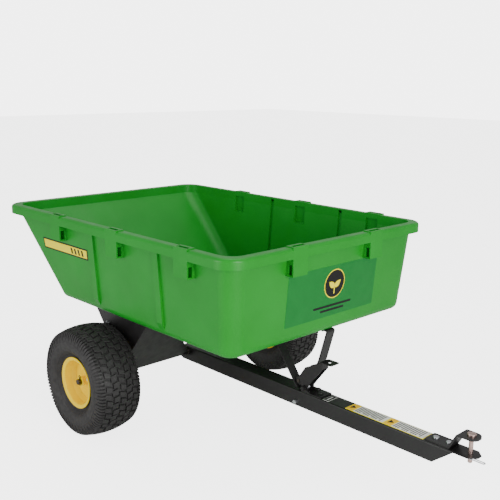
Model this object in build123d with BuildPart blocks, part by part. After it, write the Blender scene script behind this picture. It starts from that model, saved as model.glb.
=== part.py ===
"""Tow behind poly dump cart: a dumping tub on two wheels, towed by a channel tongue.

Millimetres.  +X points forward to the hitch, +Y to the cart's left, +Z up.
The origin is on the ground, below the middle of the cart's overall length.
Positions along the cart are given as distances ahead of the axle.
"""
from build123d import *
from math import atan2, cos, degrees, hypot, radians, sin, sqrt
import os

# ---------------------------------------------------------------- wheels and axle
TYRE_DIAMETER = 373.0
TYRE_WIDTH = 164.0
TYRE_SHOULDER = (0.9, 0.94)
TYRE_BULGE = 0.72
TYRE_WALL = 9.0
WHEEL_TRACK = 880.0
FLANGE_DIAMETER = 177.0
BEAD_DIAMETER = 152.0
RIM_WIDTH = 122.0
RIM_SHEET = 2.5
RIM_CLEARANCE = 4.0
AXLE_DIAMETER = 19.05
RUNNING_FIT = 0.06
HUB_WALL = 3.2
BUSH_WALL = 2.6
BUSH_LENGTH = 32.0
BUSH_FLANGE = 3.0
HUB_REACH_OUT = 40.0
AXLE_END_PAST_HUB = 15.0
WASHER_THICKNESS = 2.0
SIDE_PLAY = 0.8
COTTER_DIAMETER = 4.0
DISH_DEPTH = 8.0
DISH_RADIUS = 42.0
VALVE_RADIUS = 69.0
VALVE_ANGLE = 24.0
VALVE_DIAMETER = 8.0

# ---------------------------------------------------------------- tub
RIM_REAR = -555.0
RIM_FRONT = 699.0
RIM_HALF_WIDTH = 446.5
TUB_OVER_TYRES = 40.0
TUB_DEPTH = 305.0
LIP_HEIGHT = 32.0
LIP_OVERHANG = 25.0
REAR_LIP_OVERHANG = 33.0
RIM_CORNER = 66.0
REAR_WALL_RUN = 301.0
FRONT_WALL_RUN = 51.0
SIDE_WALL_RUN = 46.5
FLOOR_CORNER = 48.0
FLOOR_EDGE_RADIUS = 26.0
TUB_WALL = 5.0
POCKET_WIDTH = 61.0
POCKET_DEPTH = 85.0
POCKET_LOOP_HEIGHT = 3.0
POCKET_SET_OUT = 10.0
POCKET_INNER_WALL = 4.0
POCKET_SIDE_SLOT = 30.0
SIDE_POCKETS = (-196.0, 145.0, 491.0)
FRONT_POCKETS = (-175.0, 175.0)
RIB_STATIONS = (-5.0, 345.0)
RIB_WIDTH = 26.0
RIB_DEPTH = 8.0
RIB_FOOT = 22.0

# ---------------------------------------------------------------- wheel supports
SHEET = 3.0
SUPPORT_HALF_SPAN = 345.0
SUPPORT_TOP_REAR = -125.0
SUPPORT_TOP_FRONT = 200.0
SUPPORT_FLANGE = 42.0
SUPPORT_FACE_TOP_INNER = 257.0
SUPPORT_EAR = 50.0
SUPPORT_EAR_RADIUS = 22.0
SUPPORT_BOLTS = (-85.0, 40.0, 165.0)
SIDE_BOLT_X = -37.0
SIDE_BOLT_DROP = 59.0
GUSSET_WIDTH = 36.0

# ---------------------------------------------------------------- tongue
TONGUE_WIDTH = 60.6
TONGUE_HEIGHT = 53.4
TONGUE_ABOVE_AXLE = 17.0
TONGUE_REAR = -24.0
TONGUE_FLANGE_END = 1075.0
TONGUE_SLOPE_END = 1138.0
NOSE_END = 1203.0
NOSE_CHAMFER = 22.0
CROSS_BOLT_X = 558.0
CROSS_BOLT_RISE = 11.0

# ---------------------------------------------------------------- hitch
HITCH_PIN_X = 1174.0
HITCH_PIN_DIAMETER = 12.7
HITCH_PIN_PLAY = 0.5
HITCH_GAP = 46.0
HITCH_PLATE = 6.0
HITCH_PLATE_WIDTH = 50.0
HITCH_BASE_START = 1045.0
HITCH_WEB_FOOT_X = 1120.0
HITCH_WEB_TOP_X = 1144.0
HITCH_BOLTS = (1066.0, 1108.0)
HITCH_PIN_TAIL = 27.0
CLIP_WIRE = 3.0
CLIP_REACH = 48.0
CLIP_WIDTH = 16.0

# ---------------------------------------------------------------- dump latch
STRUT_WIDTH = 32.0
STRUT_SHEET = 5.0
STRUT_Y = -12.0
STRUT_TOP_X = 406.0
STRUT_FOOT_X = 564.0
STRUT_REST_GAP = 0.6
BAR_WIDTH = 38.0
BAR_SHEET = 5.0
BAR_Y = 35.0
BAR_TOP_INSET = 6.0
BAR_KNEE_INSET = 36.0
BAR_KNEE_RISE = 102.5
FLANGE_LENGTH = 52.0
CATCH_TUBE_DIAMETER = 28.0
CATCH_PIN_DIAMETER = 12.0
CATCH_HEIGHT = 30.0
LEVER_Y = -10.0
LEVER_WIDTH = 30.0
LEVER_SHEET = 3.0
LATCH_PLAY = 0.6
PIVOT_AHEAD_OF_CATCH = 26.0
PIVOT_BELOW_CATCH = 17.0
LEVER_BOSS = 9.0
STAND_PLAY = 1.0
STAND_REAR_X = 579.0
STAND_FRONT_X = 661.0
STAND_BOLTS = ((638.0, 0.0), (612.0, 18.5))
PEDAL_LENGTH = 46.0
PEDAL_WIDTH = 42.0
PEDAL_X = 663.0
PEDAL_RISE = 118.5
PEDAL_SHEET = 3.0
PEDAL_HOLE = 6.0
SPRING_WIRE = 2.0
SPRING_RADIUS = 6.5
SPRING_TURNS = 6

# ---------------------------------------------------------------- fasteners
BOLT = 8.0
BOLT_CLEARANCE = 0.5
HEAD_DIAMETER = 18.0
HEAD_HEIGHT = 4.0
NUT_ACROSS = 13.0
NUT_HEIGHT = 6.5
BIG_WASHER = 30.0
BIG_WASHER_SHEET = 1.6
THREAD_TAIL = 3.0

# ---------------------------------------------------------------- worked-out places
AXLE_R = AXLE_DIAMETER / 2
AXLE_Z = TYRE_DIAMETER / 2
WHEEL_Y = WHEEL_TRACK / 2
CLIP_FRONT = HITCH_PIN_X + CLIP_REACH
FRONT_REACH = max(CLIP_FRONT, NOSE_END)
AXLE_X = -(FRONT_REACH + RIM_REAR) / 2
TUB_BOTTOM = TYRE_DIAMETER + TUB_OVER_TYRES
RIM_HEIGHT = TUB_BOTTOM + TUB_DEPTH
FLOOR_REAR = RIM_REAR + REAR_WALL_RUN
FLOOR_FRONT = RIM_FRONT - FRONT_WALL_RUN
FLOOR_HALF_WIDTH = RIM_HALF_WIDTH - SIDE_WALL_RUN
LIP_BOTTOM = RIM_HEIGHT - LIP_HEIGHT
TOP_REAR = RIM_REAR + REAR_LIP_OVERHANG
TOP_FRONT = RIM_FRONT - LIP_OVERHANG
TOP_HALF_WIDTH = RIM_HALF_WIDTH - LIP_OVERHANG
TOP_CORNER = RIM_CORNER - LIP_OVERHANG / 2
FLOOR_Z = TUB_BOTTOM + TUB_WALL
TONGUE_TOP = AXLE_Z + TONGUE_ABOVE_AXLE
TONGUE_BOTTOM = TONGUE_TOP - TONGUE_HEIGHT
BAR_TOP_X = FLOOR_FRONT - BAR_TOP_INSET
BAR_KNEE_X = FLOOR_FRONT - BAR_KNEE_INSET
BAR_KNEE_Z = TONGUE_TOP + BAR_KNEE_RISE
PEDAL_Z = TONGUE_TOP + PEDAL_RISE
TONGUE_HALF = TONGUE_WIDTH / 2
HOLE_R = BOLT / 2 + BOLT_CLEARANCE
BORE_R = AXLE_R + RUNNING_FIT

os.makedirs("parts", exist_ok=True)


def save(part, name):
    """Label a finished piece and write it."""
    part.label = name
    export_step(part, f"parts/{name}.step")


def at(x, y, z):
    """Point given by its distance ahead of the axle."""
    return (AXLE_X + x, y, z)


def across(x, z, y=0.0):
    """Plane whose normal runs across the cart, through a point beside the axle's middle."""
    return Plane(origin=at(x, y, z), x_dir=(1, 0, 0), z_dir=(0, -1, 0))


# ================================================================ tub
def tub_section(height, inset):
    """Rectangle of the tub's walls at a height: rear, front, half width and corner."""
    rise = (height - TUB_BOTTOM) / (LIP_BOTTOM - TUB_BOTTOM)
    rear_run = (FLOOR_REAR - TOP_REAR) / (LIP_BOTTOM - TUB_BOTTOM)
    rear_inset = inset * hypot(1, rear_run)
    rear = FLOOR_REAR + (TOP_REAR - FLOOR_REAR) * rise + rear_inset
    front = FLOOR_FRONT + (TOP_FRONT - FLOOR_FRONT) * rise - inset
    half = FLOOR_HALF_WIDTH + (TOP_HALF_WIDTH - FLOOR_HALF_WIDTH) * rise - inset
    corner = FLOOR_CORNER + (TOP_CORNER - FLOOR_CORNER) * rise - inset
    return rear, front, half, corner


def draw_tub_section(height, inset):
    """Rounded rectangle of the tub's walls, for the sketch that is open."""
    rear, front, half, corner = tub_section(height, inset)
    with Locations((AXLE_X + (rear + front) / 2, 0)):
        RectangleRounded(front - rear, 2 * half, corner)


def wall_half_width(height):
    """Outer half width of the tub's side walls at a height."""
    return tub_section(height, 0)[2]


def wall_front(height):
    """Outer face of the tub's front wall at a height, ahead of the axle."""
    return tub_section(height, 0)[1]


with BuildPart() as tub_core:
    with BuildSketch(Plane.XY.offset(TUB_BOTTOM)):
        draw_tub_section(TUB_BOTTOM, 0)
    with BuildSketch(Plane.XY.offset(LIP_BOTTOM)):
        draw_tub_section(LIP_BOTTOM, 0)
    loft(ruled=True)
    fillet(tub_core.faces().sort_by(Axis.Z)[0].edges(), FLOOR_EDGE_RADIUS)
    with BuildSketch(Plane.XY.offset(LIP_BOTTOM)):
        draw_tub_section(LIP_BOTTOM, 0)
    extrude(amount=LIP_HEIGHT)

with BuildPart() as tub_hollow:
    with BuildSketch(Plane.XY.offset(FLOOR_Z)):
        draw_tub_section(FLOOR_Z, TUB_WALL)
    with BuildSketch(Plane.XY.offset(LIP_BOTTOM)):
        draw_tub_section(LIP_BOTTOM, TUB_WALL)
    loft(ruled=True)
    fillet(tub_hollow.faces().sort_by(Axis.Z)[0].edges(), FLOOR_EDGE_RADIUS - TUB_WALL)
    with BuildSketch(Plane.XY.offset(LIP_BOTTOM)):
        draw_tub_section(LIP_BOTTOM, TUB_WALL)
    extrude(amount=LIP_HEIGHT + 1)

SIDES = (("right", -1), ("left", 1))
POCKET_BOTTOM = RIM_HEIGHT - POCKET_DEPTH
WALL_Y_AT_POCKET = wall_half_width(POCKET_BOTTOM)
WALL_X_AT_POCKET = wall_front(POCKET_BOTTOM)
LOOP_TOP = RIM_HEIGHT + POCKET_LOOP_HEIGHT
RIB_LOW = TUB_BOTTOM + RIB_FOOT


def rib_plane(x, side):
    """Plane across the cart that a rib's outline is drawn on."""
    return Plane(origin=at(x, 0, 0), x_dir=(0, side, 0), z_dir=(side, 0, 0))



with BuildPart() as tub:
    add(tub_core.part)
    with BuildSketch(Plane.XY.offset(LIP_BOTTOM)):
        with Locations((AXLE_X + (RIM_REAR + RIM_FRONT) / 2, 0)):
            RectangleRounded(RIM_FRONT - RIM_REAR, 2 * RIM_HALF_WIDTH, RIM_CORNER)
    extrude(amount=LIP_HEIGHT)
    fillet(tub.faces().sort_by(Axis.Z)[-1].outer_wire().edges(), LIP_HEIGHT / 3)
    # the lip is an upside-down channel: its underside is open between wall and skirt
    with BuildSketch(Plane.XY.offset(LIP_BOTTOM)):
        with Locations((AXLE_X + (RIM_REAR + RIM_FRONT) / 2, 0)):
            RectangleRounded(
                RIM_FRONT - RIM_REAR - 2 * TUB_WALL,
                2 * (RIM_HALF_WIDTH - TUB_WALL),
                RIM_CORNER - TUB_WALL,
            )
        with BuildSketch(mode=Mode.PRIVATE) as wall_outline:
            draw_tub_section(LIP_BOTTOM, 0)
        add(wall_outline.sketch, mode=Mode.SUBTRACT)
    extrude(amount=LIP_HEIGHT - TUB_WALL, mode=Mode.SUBTRACT)
    # stake pockets: tabs that hang from the lip, flush with its face
    with BuildSketch(Plane.XY.offset(POCKET_BOTTOM)):
        for side_name, side in SIDES:
            middle_y = side * (RIM_HALF_WIDTH + WALL_Y_AT_POCKET) / 2
            with Locations(*[(AXLE_X + x, middle_y) for x in SIDE_POCKETS]):
                Rectangle(POCKET_WIDTH, RIM_HALF_WIDTH - WALL_Y_AT_POCKET)
        middle_x = AXLE_X + (RIM_FRONT + WALL_X_AT_POCKET) / 2
        with Locations(*[(middle_x, y) for y in FRONT_POCKETS]):
            Rectangle(RIM_FRONT - WALL_X_AT_POCKET, POCKET_WIDTH)
    extrude(amount=LOOP_TOP - POCKET_BOTTOM)
    # ribs on the outside of the side walls
    for side_name, side in SIDES:
        for x in RIB_STATIONS:
            with BuildSketch(rib_plane(x - side * RIB_WIDTH / 2, side)):
                with BuildLine():
                    Polyline(
                        (wall_half_width(RIB_LOW) - TUB_WALL, RIB_LOW),
                        (wall_half_width(RIB_LOW), RIB_LOW),
                        (wall_half_width(RIB_LOW + RIB_FOOT) + RIB_DEPTH, RIB_LOW + RIB_FOOT),
                        (wall_half_width(LIP_BOTTOM) + RIB_DEPTH, LIP_BOTTOM + LIP_HEIGHT / 2),
                        (wall_half_width(LIP_BOTTOM) - TUB_WALL, LIP_BOTTOM + LIP_HEIGHT / 2),
                        close=True,
                    )
                make_face()
            extrude(amount=RIB_WIDTH)
    add(tub_hollow.part, mode=Mode.SUBTRACT)
    # the ribs are grooves on the inside
    for side_name, side in SIDES:
        for x in RIB_STATIONS:
            groove = RIB_WIDTH - 2 * TUB_WALL
            low = RIB_LOW + RIB_FOOT
            high = low + RIB_FOOT
            top = RIM_HEIGHT - TUB_WALL
            with BuildSketch(rib_plane(x - side * groove / 2, side)):
                with BuildLine():
                    Polyline(
                        (wall_half_width(low) - 2 * TUB_WALL, low),
                        (wall_half_width(low) - TUB_WALL, low),
                        (wall_half_width(high) + RIB_DEPTH - TUB_WALL, high),
                        (wall_half_width(LIP_BOTTOM) + RIB_DEPTH - TUB_WALL, top),
                        (wall_half_width(LIP_BOTTOM) - 2 * TUB_WALL, top),
                        close=True,
                    )
                make_face()
            extrude(amount=groove, mode=Mode.SUBTRACT)
    # pockets behind the tabs, their mouths in the rim, and shallow recesses on the tub's inside
    niche = POCKET_WIDTH - 2 * TUB_WALL
    niche_floor = POCKET_BOTTOM + TUB_WALL
    niche_inner_y = wall_half_width(niche_floor) + POCKET_SET_OUT
    niche_inner_x = wall_front(niche_floor) + POCKET_SET_OUT
    recess_outer_y = niche_inner_y - POCKET_INNER_WALL
    recess_outer_x = niche_inner_x - POCKET_INNER_WALL
    recess_inner_y = wall_half_width(niche_floor) - 2 * TUB_WALL
    recess_inner_x = wall_front(niche_floor) - 2 * TUB_WALL
    with BuildSketch(Plane.XY.offset(niche_floor)):
        for side_name, side in SIDES:
            outer = RIM_HALF_WIDTH - TUB_WALL
            middle_y = side * (outer + niche_inner_y) / 2
            with Locations(*[(AXLE_X + x, middle_y) for x in SIDE_POCKETS]):
                Rectangle(niche, outer - niche_inner_y)
        outer = RIM_FRONT - TUB_WALL
        with Locations(*[(AXLE_X + (outer + niche_inner_x) / 2, y) for y in FRONT_POCKETS]):
            Rectangle(outer - niche_inner_x, niche)
    extrude(amount=2 * POCKET_DEPTH, mode=Mode.SUBTRACT)
    with BuildSketch(Plane.XY.offset(niche_floor)):
        for side_name, side in SIDES:
            middle_y = side * (recess_outer_y + recess_inner_y) / 2
            with Locations(*[(AXLE_X + x, middle_y) for x in SIDE_POCKETS]):
                Rectangle(niche, recess_outer_y - recess_inner_y)
        middle_x = AXLE_X + (recess_outer_x + recess_inner_x) / 2
        with Locations(*[(middle_x, y) for y in FRONT_POCKETS]):
            Rectangle(recess_outer_x - recess_inner_x, niche)
    extrude(amount=LIP_BOTTOM + LIP_HEIGHT / 2 - niche_floor, mode=Mode.SUBTRACT)
    # tie-down slots through the tabs' front walls, and through both walls of the front tabs
    slot_z = niche_floor + POCKET_SIDE_SLOT / 2
    for side_name, side in SIDES:
        slot_depth = RIM_HALF_WIDTH - TUB_WALL - niche_inner_y
        slot_y = side * (niche_inner_y + slot_depth / 2)
        with Locations(*[at(x + POCKET_WIDTH / 2, slot_y, slot_z) for x in SIDE_POCKETS]):
            Box(4 * TUB_WALL, slot_depth, POCKET_SIDE_SLOT, mode=Mode.SUBTRACT)
    slot_depth = RIM_FRONT - TUB_WALL - niche_inner_x
    with Locations(*[at(niche_inner_x + slot_depth / 2, y, slot_z) for y in FRONT_POCKETS]):
        Box(slot_depth, POCKET_WIDTH + TUB_WALL, POCKET_SIDE_SLOT, mode=Mode.SUBTRACT)

# floor bolts: the wheel supports, the strut and the latch bar all hang from the floor
SUPPORT_BOLT_Y = SUPPORT_HALF_SPAN - SUPPORT_FLANGE / 2
SUPPORT_BOLT_POINTS = [
    (x, side * SUPPORT_BOLT_Y) for x in SUPPORT_BOLTS for side_name, side in SIDES
]
GUSSET_BOLT_POINTS = [
    (SIDE_BOLT_X, side * (SUPPORT_BOLT_Y - SUPPORT_FLANGE)) for side_name, side in SIDES
]
BRACE_BOLT_POINTS = [
    (STRUT_TOP_X - FLANGE_LENGTH / 2, STRUT_Y),
    (BAR_TOP_X - 2 * FLANGE_LENGTH / 3, BAR_Y),
]
FLOOR_BOLT_POINTS = SUPPORT_BOLT_POINTS + GUSSET_BOLT_POINTS + BRACE_BOLT_POINTS

with BuildPart() as tub_drilled:
    add(tub.part)
    with Locations(*[at(x, y, TUB_BOTTOM) for x, y in FLOOR_BOLT_POINTS]):
        Cylinder(HOLE_R, 4 * TUB_WALL, mode=Mode.SUBTRACT)
save(tub_drilled.part, "tub")


# ================================================================ wheels
def wheel_plane(side):
    """Radial plane of a wheel: x runs outboard from the wheel's middle, y is the radius."""
    return Plane(origin=(AXLE_X, side * WHEEL_Y, AXLE_Z), x_dir=(0, side, 0), z_dir=(side, 0, 0))


AXLE_AXIS = Axis((AXLE_X, 0, AXLE_Z), (0, 1, 0))
TYRE_R = TYRE_DIAMETER / 2
BEAD_R = BEAD_DIAMETER / 2
FLANGE_R = FLANGE_DIAMETER / 2
BEAD_HALF = RIM_WIDTH / 2 - RIM_SHEET
BUSH_R = BORE_R + BUSH_WALL
HUB_R = BUSH_R + HUB_WALL
SUPPORT_FACE = SUPPORT_HALF_SPAN
HUB_IN = WHEEL_Y - SUPPORT_FACE - WASHER_THICKNESS - 2 * SIDE_PLAY - BUSH_FLANGE
HUB_END_Y = WHEEL_Y + HUB_REACH_OUT + BUSH_FLANGE
COTTER_Y = HUB_END_Y + SIDE_PLAY + WASHER_THICKNESS + COTTER_DIAMETER / 2 + SIDE_PLAY
AXLE_END = HUB_END_Y + AXLE_END_PAST_HUB
DISC_A = RIM_WIDTH / 8
WELL_R = BEAD_R - 3 * SHEET


def make_tyre(side):
    """Hollow tyre, from bead to bead around its air space."""
    half = TYRE_WIDTH / 2
    inner = half - TYRE_WALL
    bead_r = BEAD_R + RIM_SHEET / 2
    bead_in = BEAD_HALF - TYRE_WALL
    wall_foot = FLANGE_R + RIM_CLEARANCE
    tread_half = half * TYRE_SHOULDER[0]
    tread_r = TYRE_R * TYRE_SHOULDER[1]
    under_half = tread_half - TYRE_WALL
    under_r = tread_r - 1.5 * TYRE_WALL
    with BuildPart() as tyre:
        with BuildSketch(wheel_plane(side)):
            with BuildLine():
                Line((-BEAD_HALF, bead_r), (-BEAD_HALF, wall_foot))
                ThreePointArc((-BEAD_HALF, wall_foot), (-half, TYRE_R * TYRE_BULGE), (-tread_half, tread_r))
                ThreePointArc((-tread_half, tread_r), (0, TYRE_R), (tread_half, tread_r))
                ThreePointArc((tread_half, tread_r), (half, TYRE_R * TYRE_BULGE), (BEAD_HALF, wall_foot))
                Line((BEAD_HALF, wall_foot), (BEAD_HALF, bead_r))
                Line((BEAD_HALF, bead_r), (-BEAD_HALF, bead_r))
            make_face()
            with BuildLine():
                Line((-bead_in, bead_r - 1), (-bead_in, wall_foot))
                ThreePointArc((-bead_in, wall_foot), (-inner, TYRE_R * TYRE_BULGE), (-under_half, under_r))
                ThreePointArc((-under_half, under_r), (0, TYRE_R - TYRE_WALL * 1.5), (under_half, under_r))
                ThreePointArc((under_half, under_r), (inner, TYRE_R * TYRE_BULGE), (bead_in, wall_foot))
                Line((bead_in, wall_foot), (bead_in, bead_r - 1))
                Line((bead_in, bead_r - 1), (-bead_in, bead_r - 1))
            make_face(mode=Mode.SUBTRACT)
        revolve(axis=AXLE_AXIS)
    return tyre.part


def make_rim(side):
    """Pressed steel rim in one piece: barrel, dish and hub tube."""
    edge = RIM_WIDTH / 2
    with BuildPart() as rim:
        with BuildSketch(wheel_plane(side)):
            with BuildLine():
                FilletPolyline(
                    (-edge - RIM_SHEET, FLANGE_R - RIM_SHEET / 2),
                    (-edge, BEAD_R),
                    (-edge * 0.72, BEAD_R - RIM_SHEET / 2),
                    (-edge * 0.55, WELL_R),
                    (edge * 0.35, WELL_R),
                    (edge * 0.6, BEAD_R - RIM_SHEET / 2),
                    (edge, BEAD_R),
                    (edge + RIM_SHEET, FLANGE_R - RIM_SHEET / 2),
                    radius=RIM_SHEET,
                )
            trace(line_width=RIM_SHEET)
            with BuildLine():
                FilletPolyline(
                    (DISC_A + DISH_DEPTH / 2, WELL_R),
                    (DISC_A, DISH_RADIUS),
                    (DISC_A + DISH_DEPTH, HUB_R - HUB_WALL / 2),
                    radius=4 * RIM_SHEET,
                )
            trace(line_width=RIM_SHEET)
            with BuildLine():
                Line((-HUB_IN, BUSH_R + HUB_WALL / 2), (HUB_REACH_OUT, BUSH_R + HUB_WALL / 2))
            trace(line_width=HUB_WALL)
        revolve(axis=AXLE_AXIS)
        valve = (VALVE_RADIUS * cos(radians(VALVE_ANGLE)), VALVE_RADIUS * sin(radians(VALVE_ANGLE)))
        with BuildSketch(Plane(origin=(AXLE_X, side * WHEEL_Y, AXLE_Z), x_dir=(1, 0, 0), z_dir=(0, -1, 0))):
            with Locations(valve):
                Circle(VALVE_DIAMETER / 2 + RIM_SHEET / 2)
        extrude(amount=-side * edge, mode=Mode.SUBTRACT)
    return rim.part


def make_bushes(side):
    """Two flanged bushes, one pressed into each end of the hub tube."""
    with BuildPart() as bushes:
        for end, inward in ((-HUB_IN, 1), (HUB_REACH_OUT, -1)):
            with BuildSketch(wheel_plane(side)):
                with BuildLine():
                    Polyline(
                        (end - inward * BUSH_FLANGE, BORE_R),
                        (end + inward * BUSH_LENGTH, BORE_R),
                        (end + inward * BUSH_LENGTH, BUSH_R),
                        (end, BUSH_R),
                        (end, HUB_R),
                        (end - inward * BUSH_FLANGE, HUB_R),
                        close=True,
                    )
                make_face()
            revolve(axis=AXLE_AXIS)
    return bushes.part


def make_valve(side):
    """Valve stem with its grommet in the rim's hole and a metal cap."""
    x = VALVE_RADIUS * cos(radians(VALVE_ANGLE))
    z = VALVE_RADIUS * sin(radians(VALVE_ANGLE))
    root = RIM_WIDTH * 0.2
    tip = RIM_WIDTH / 2 - RIM_SHEET
    plane = Plane(origin=at(x, side * (WHEEL_Y + root), AXLE_Z + z), x_dir=(1, 0, 0), z_dir=(0, side, 0))
    with BuildPart() as valve:
        with BuildSketch(plane):
            Circle(VALVE_DIAMETER / 2 + RIM_SHEET / 4)
        extrude(amount=(tip - root) * 0.6)
        with BuildSketch(plane):
            Circle(VALVE_DIAMETER / 2 - 1)
        extrude(amount=tip - root)
        with BuildSketch(plane.offset((tip - root) * 0.66)):
            Circle(VALVE_DIAMETER / 2)
        extrude(amount=(tip - root) * 0.34)
    return valve.part


for side_name, side in SIDES:
    save(make_tyre(side), f"tyre_{side_name}")
    save(make_rim(side), f"rim_{side_name}")
    save(make_bushes(side), f"hub_bushes_{side_name}")
    save(make_valve(side), f"valve_stem_{side_name}")

with BuildPart() as axle:
    with BuildSketch(across(0, AXLE_Z)):
        Circle(AXLE_R)
    extrude(amount=AXLE_END, both=True)
    chamfer(axle.faces().filter_by(Axis.Y).edges(), AXLE_R / 6)
    with Locations(at(0, COTTER_Y, AXLE_Z), at(0, -COTTER_Y, AXLE_Z)):
        Cylinder(COTTER_DIAMETER / 2, AXLE_DIAMETER + 2, mode=Mode.SUBTRACT)
save(axle.part, "axle")

with BuildPart() as axle_washers:
    for y in (SUPPORT_FACE + SIDE_PLAY, HUB_END_Y + SIDE_PLAY):
        for side_name, side in SIDES:
            with BuildSketch(across(0, AXLE_Z, side * y)):
                Circle(HUB_R + SHEET)
                Circle(BORE_R, mode=Mode.SUBTRACT)
            extrude(amount=-side * WASHER_THICKNESS)
save(axle_washers.part, "axle_washers")

with BuildPart() as cotter_pins:
    for side_name, side in SIDES:
        pin_r = COTTER_DIAMETER / 2 - BOLT_CLEARANCE / 4
        with Locations(at(0, side * COTTER_Y, AXLE_Z)):
            Cylinder(pin_r, AXLE_DIAMETER + 2 * COTTER_DIAMETER)
        with Locations(Location(at(0, side * COTTER_Y, AXLE_Z + AXLE_R + 2 * COTTER_DIAMETER), (90, 0, 0))):
            Torus(COTTER_DIAMETER, COTTER_DIAMETER / 4)
save(cotter_pins.part, "axle_cotter_pins")

# ================================================================ wheel supports
# the face plate leans back under the tub and passes just ahead of the axle
FACE_CLEARANCE = 1.5
face_run = (SUPPORT_TOP_FRONT - AXLE_R) / (TUB_BOTTOM - AXLE_Z)
FACE_ANGLE = atan2(TUB_BOTTOM - AXLE_Z, SUPPORT_TOP_FRONT - AXLE_R)
FACE_X = (AXLE_R + FACE_CLEARANCE + SHEET) / sin(FACE_ANGLE)
SUPPORT_TOP = TUB_BOTTOM
FACE_TOP_X = SUPPORT_TOP_FRONT


def face_x(z):
    """Front surface of the face plates at a height, ahead of the axle."""
    return FACE_X + (FACE_TOP_X - FACE_X) * (z - AXLE_Z) / (SUPPORT_TOP - AXLE_Z)


FACE_LEAN = atan2(FACE_TOP_X - FACE_X, SUPPORT_TOP - AXLE_Z)
FACE_STEP = SHEET / cos(FACE_LEAN)
EAR_INNER = SUPPORT_EAR - SHEET


def make_support(side):
    """Bent steel support: side plate, leaning face plate, axle ear and bolting flange."""
    outer = SUPPORT_HALF_SPAN
    with BuildPart() as support:
        # side plate, with a round lug about the axle
        with BuildSketch(across(0, 0, side * outer)):
            with BuildLine():
                Polyline(
                    (SUPPORT_TOP_REAR, SUPPORT_TOP),
                    (FACE_TOP_X, SUPPORT_TOP),
                    (FACE_X, AXLE_Z),
                    (0, AXLE_Z - AXLE_R - SHEET),
                    (-SUPPORT_EAR_RADIUS, AXLE_Z),
                    (SUPPORT_TOP_REAR / 3, AXLE_Z + 0.55 * (SUPPORT_TOP - AXLE_Z)),
                    close=True,
                )
            make_face()
            with Locations((0, AXLE_Z)):
                Circle(SUPPORT_EAR_RADIUS)
        extrude(amount=side * SHEET)
        # bolting flange under the floor
        with BuildSketch(Plane.XY.offset(SUPPORT_TOP)):
            flange_middle = (SUPPORT_TOP_REAR + FACE_TOP_X) / 2
            with Locations((AXLE_X + flange_middle, side * (outer - SUPPORT_FLANGE / 2))):
                Rectangle(FACE_TOP_X - SUPPORT_TOP_REAR, SUPPORT_FLANGE)
        extrude(amount=-SHEET)
        # face plate, cut from a block that leans with it
        with BuildSketch(across(0, 0)):
            with BuildLine():
                Polyline(
                    (face_x(AXLE_Z - AXLE_R), AXLE_Z - AXLE_R),
                    (FACE_TOP_X, SUPPORT_TOP),
                    (FACE_TOP_X - FACE_STEP, SUPPORT_TOP),
                    (face_x(AXLE_Z - AXLE_R) - FACE_STEP, AXLE_Z - AXLE_R),
                    close=True,
                )
            make_face()
        extrude(amount=-side * outer)
        with BuildSketch(Plane(origin=at(0, 0, 0), x_dir=(0, side, 0), z_dir=(side, 0, 0))):
            with BuildLine():
                Polyline(
                    (-1, 0),
                    (EAR_INNER, 0),
                    (EAR_INNER, AXLE_Z + SUPPORT_EAR_RADIUS / 2),
                    (SUPPORT_FACE_TOP_INNER, SUPPORT_TOP),
                    (SUPPORT_FACE_TOP_INNER, SUPPORT_TOP + 1),
                    (-1, SUPPORT_TOP + 1),
                    close=True,
                )
            make_face()
        extrude(amount=SUPPORT_TOP_FRONT + 1, both=True, mode=Mode.SUBTRACT)
        # ear beside the tongue, bent back from the face plate
        ear_low = AXLE_Z - AXLE_R
        ear_high = AXLE_Z + SUPPORT_EAR_RADIUS / 2
        with BuildSketch(across(0, 0, side * EAR_INNER)):
            with BuildLine():
                Polyline(
                    (0, AXLE_Z - SUPPORT_EAR_RADIUS),
                    (face_x(ear_low) - FACE_STEP / 2, ear_low),
                    (face_x(ear_high) - FACE_STEP / 2, ear_high),
                    (0, AXLE_Z + SUPPORT_EAR_RADIUS),
                    close=True,
                )
            make_face()
            with Locations((0, AXLE_Z)):
                Circle(SUPPORT_EAR_RADIUS)
        extrude(amount=-side * SHEET)
        # bores and bolt holes
        with BuildSketch(across(0, AXLE_Z)):
            Circle(BORE_R)
        extrude(amount=-side * (outer + 1), mode=Mode.SUBTRACT)
        with Locations(*[at(x, side * SUPPORT_BOLT_Y, SUPPORT_TOP) for x in SUPPORT_BOLTS]):
            Cylinder(HOLE_R, 4 * SHEET, mode=Mode.SUBTRACT)
        with BuildSketch(across(SIDE_BOLT_X, SUPPORT_TOP - SIDE_BOLT_DROP, side * (outer - 2 * SHEET))):
            Circle(HOLE_R)
        extrude(amount=-side * 4 * SHEET, mode=Mode.SUBTRACT)
    return support.part


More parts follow.
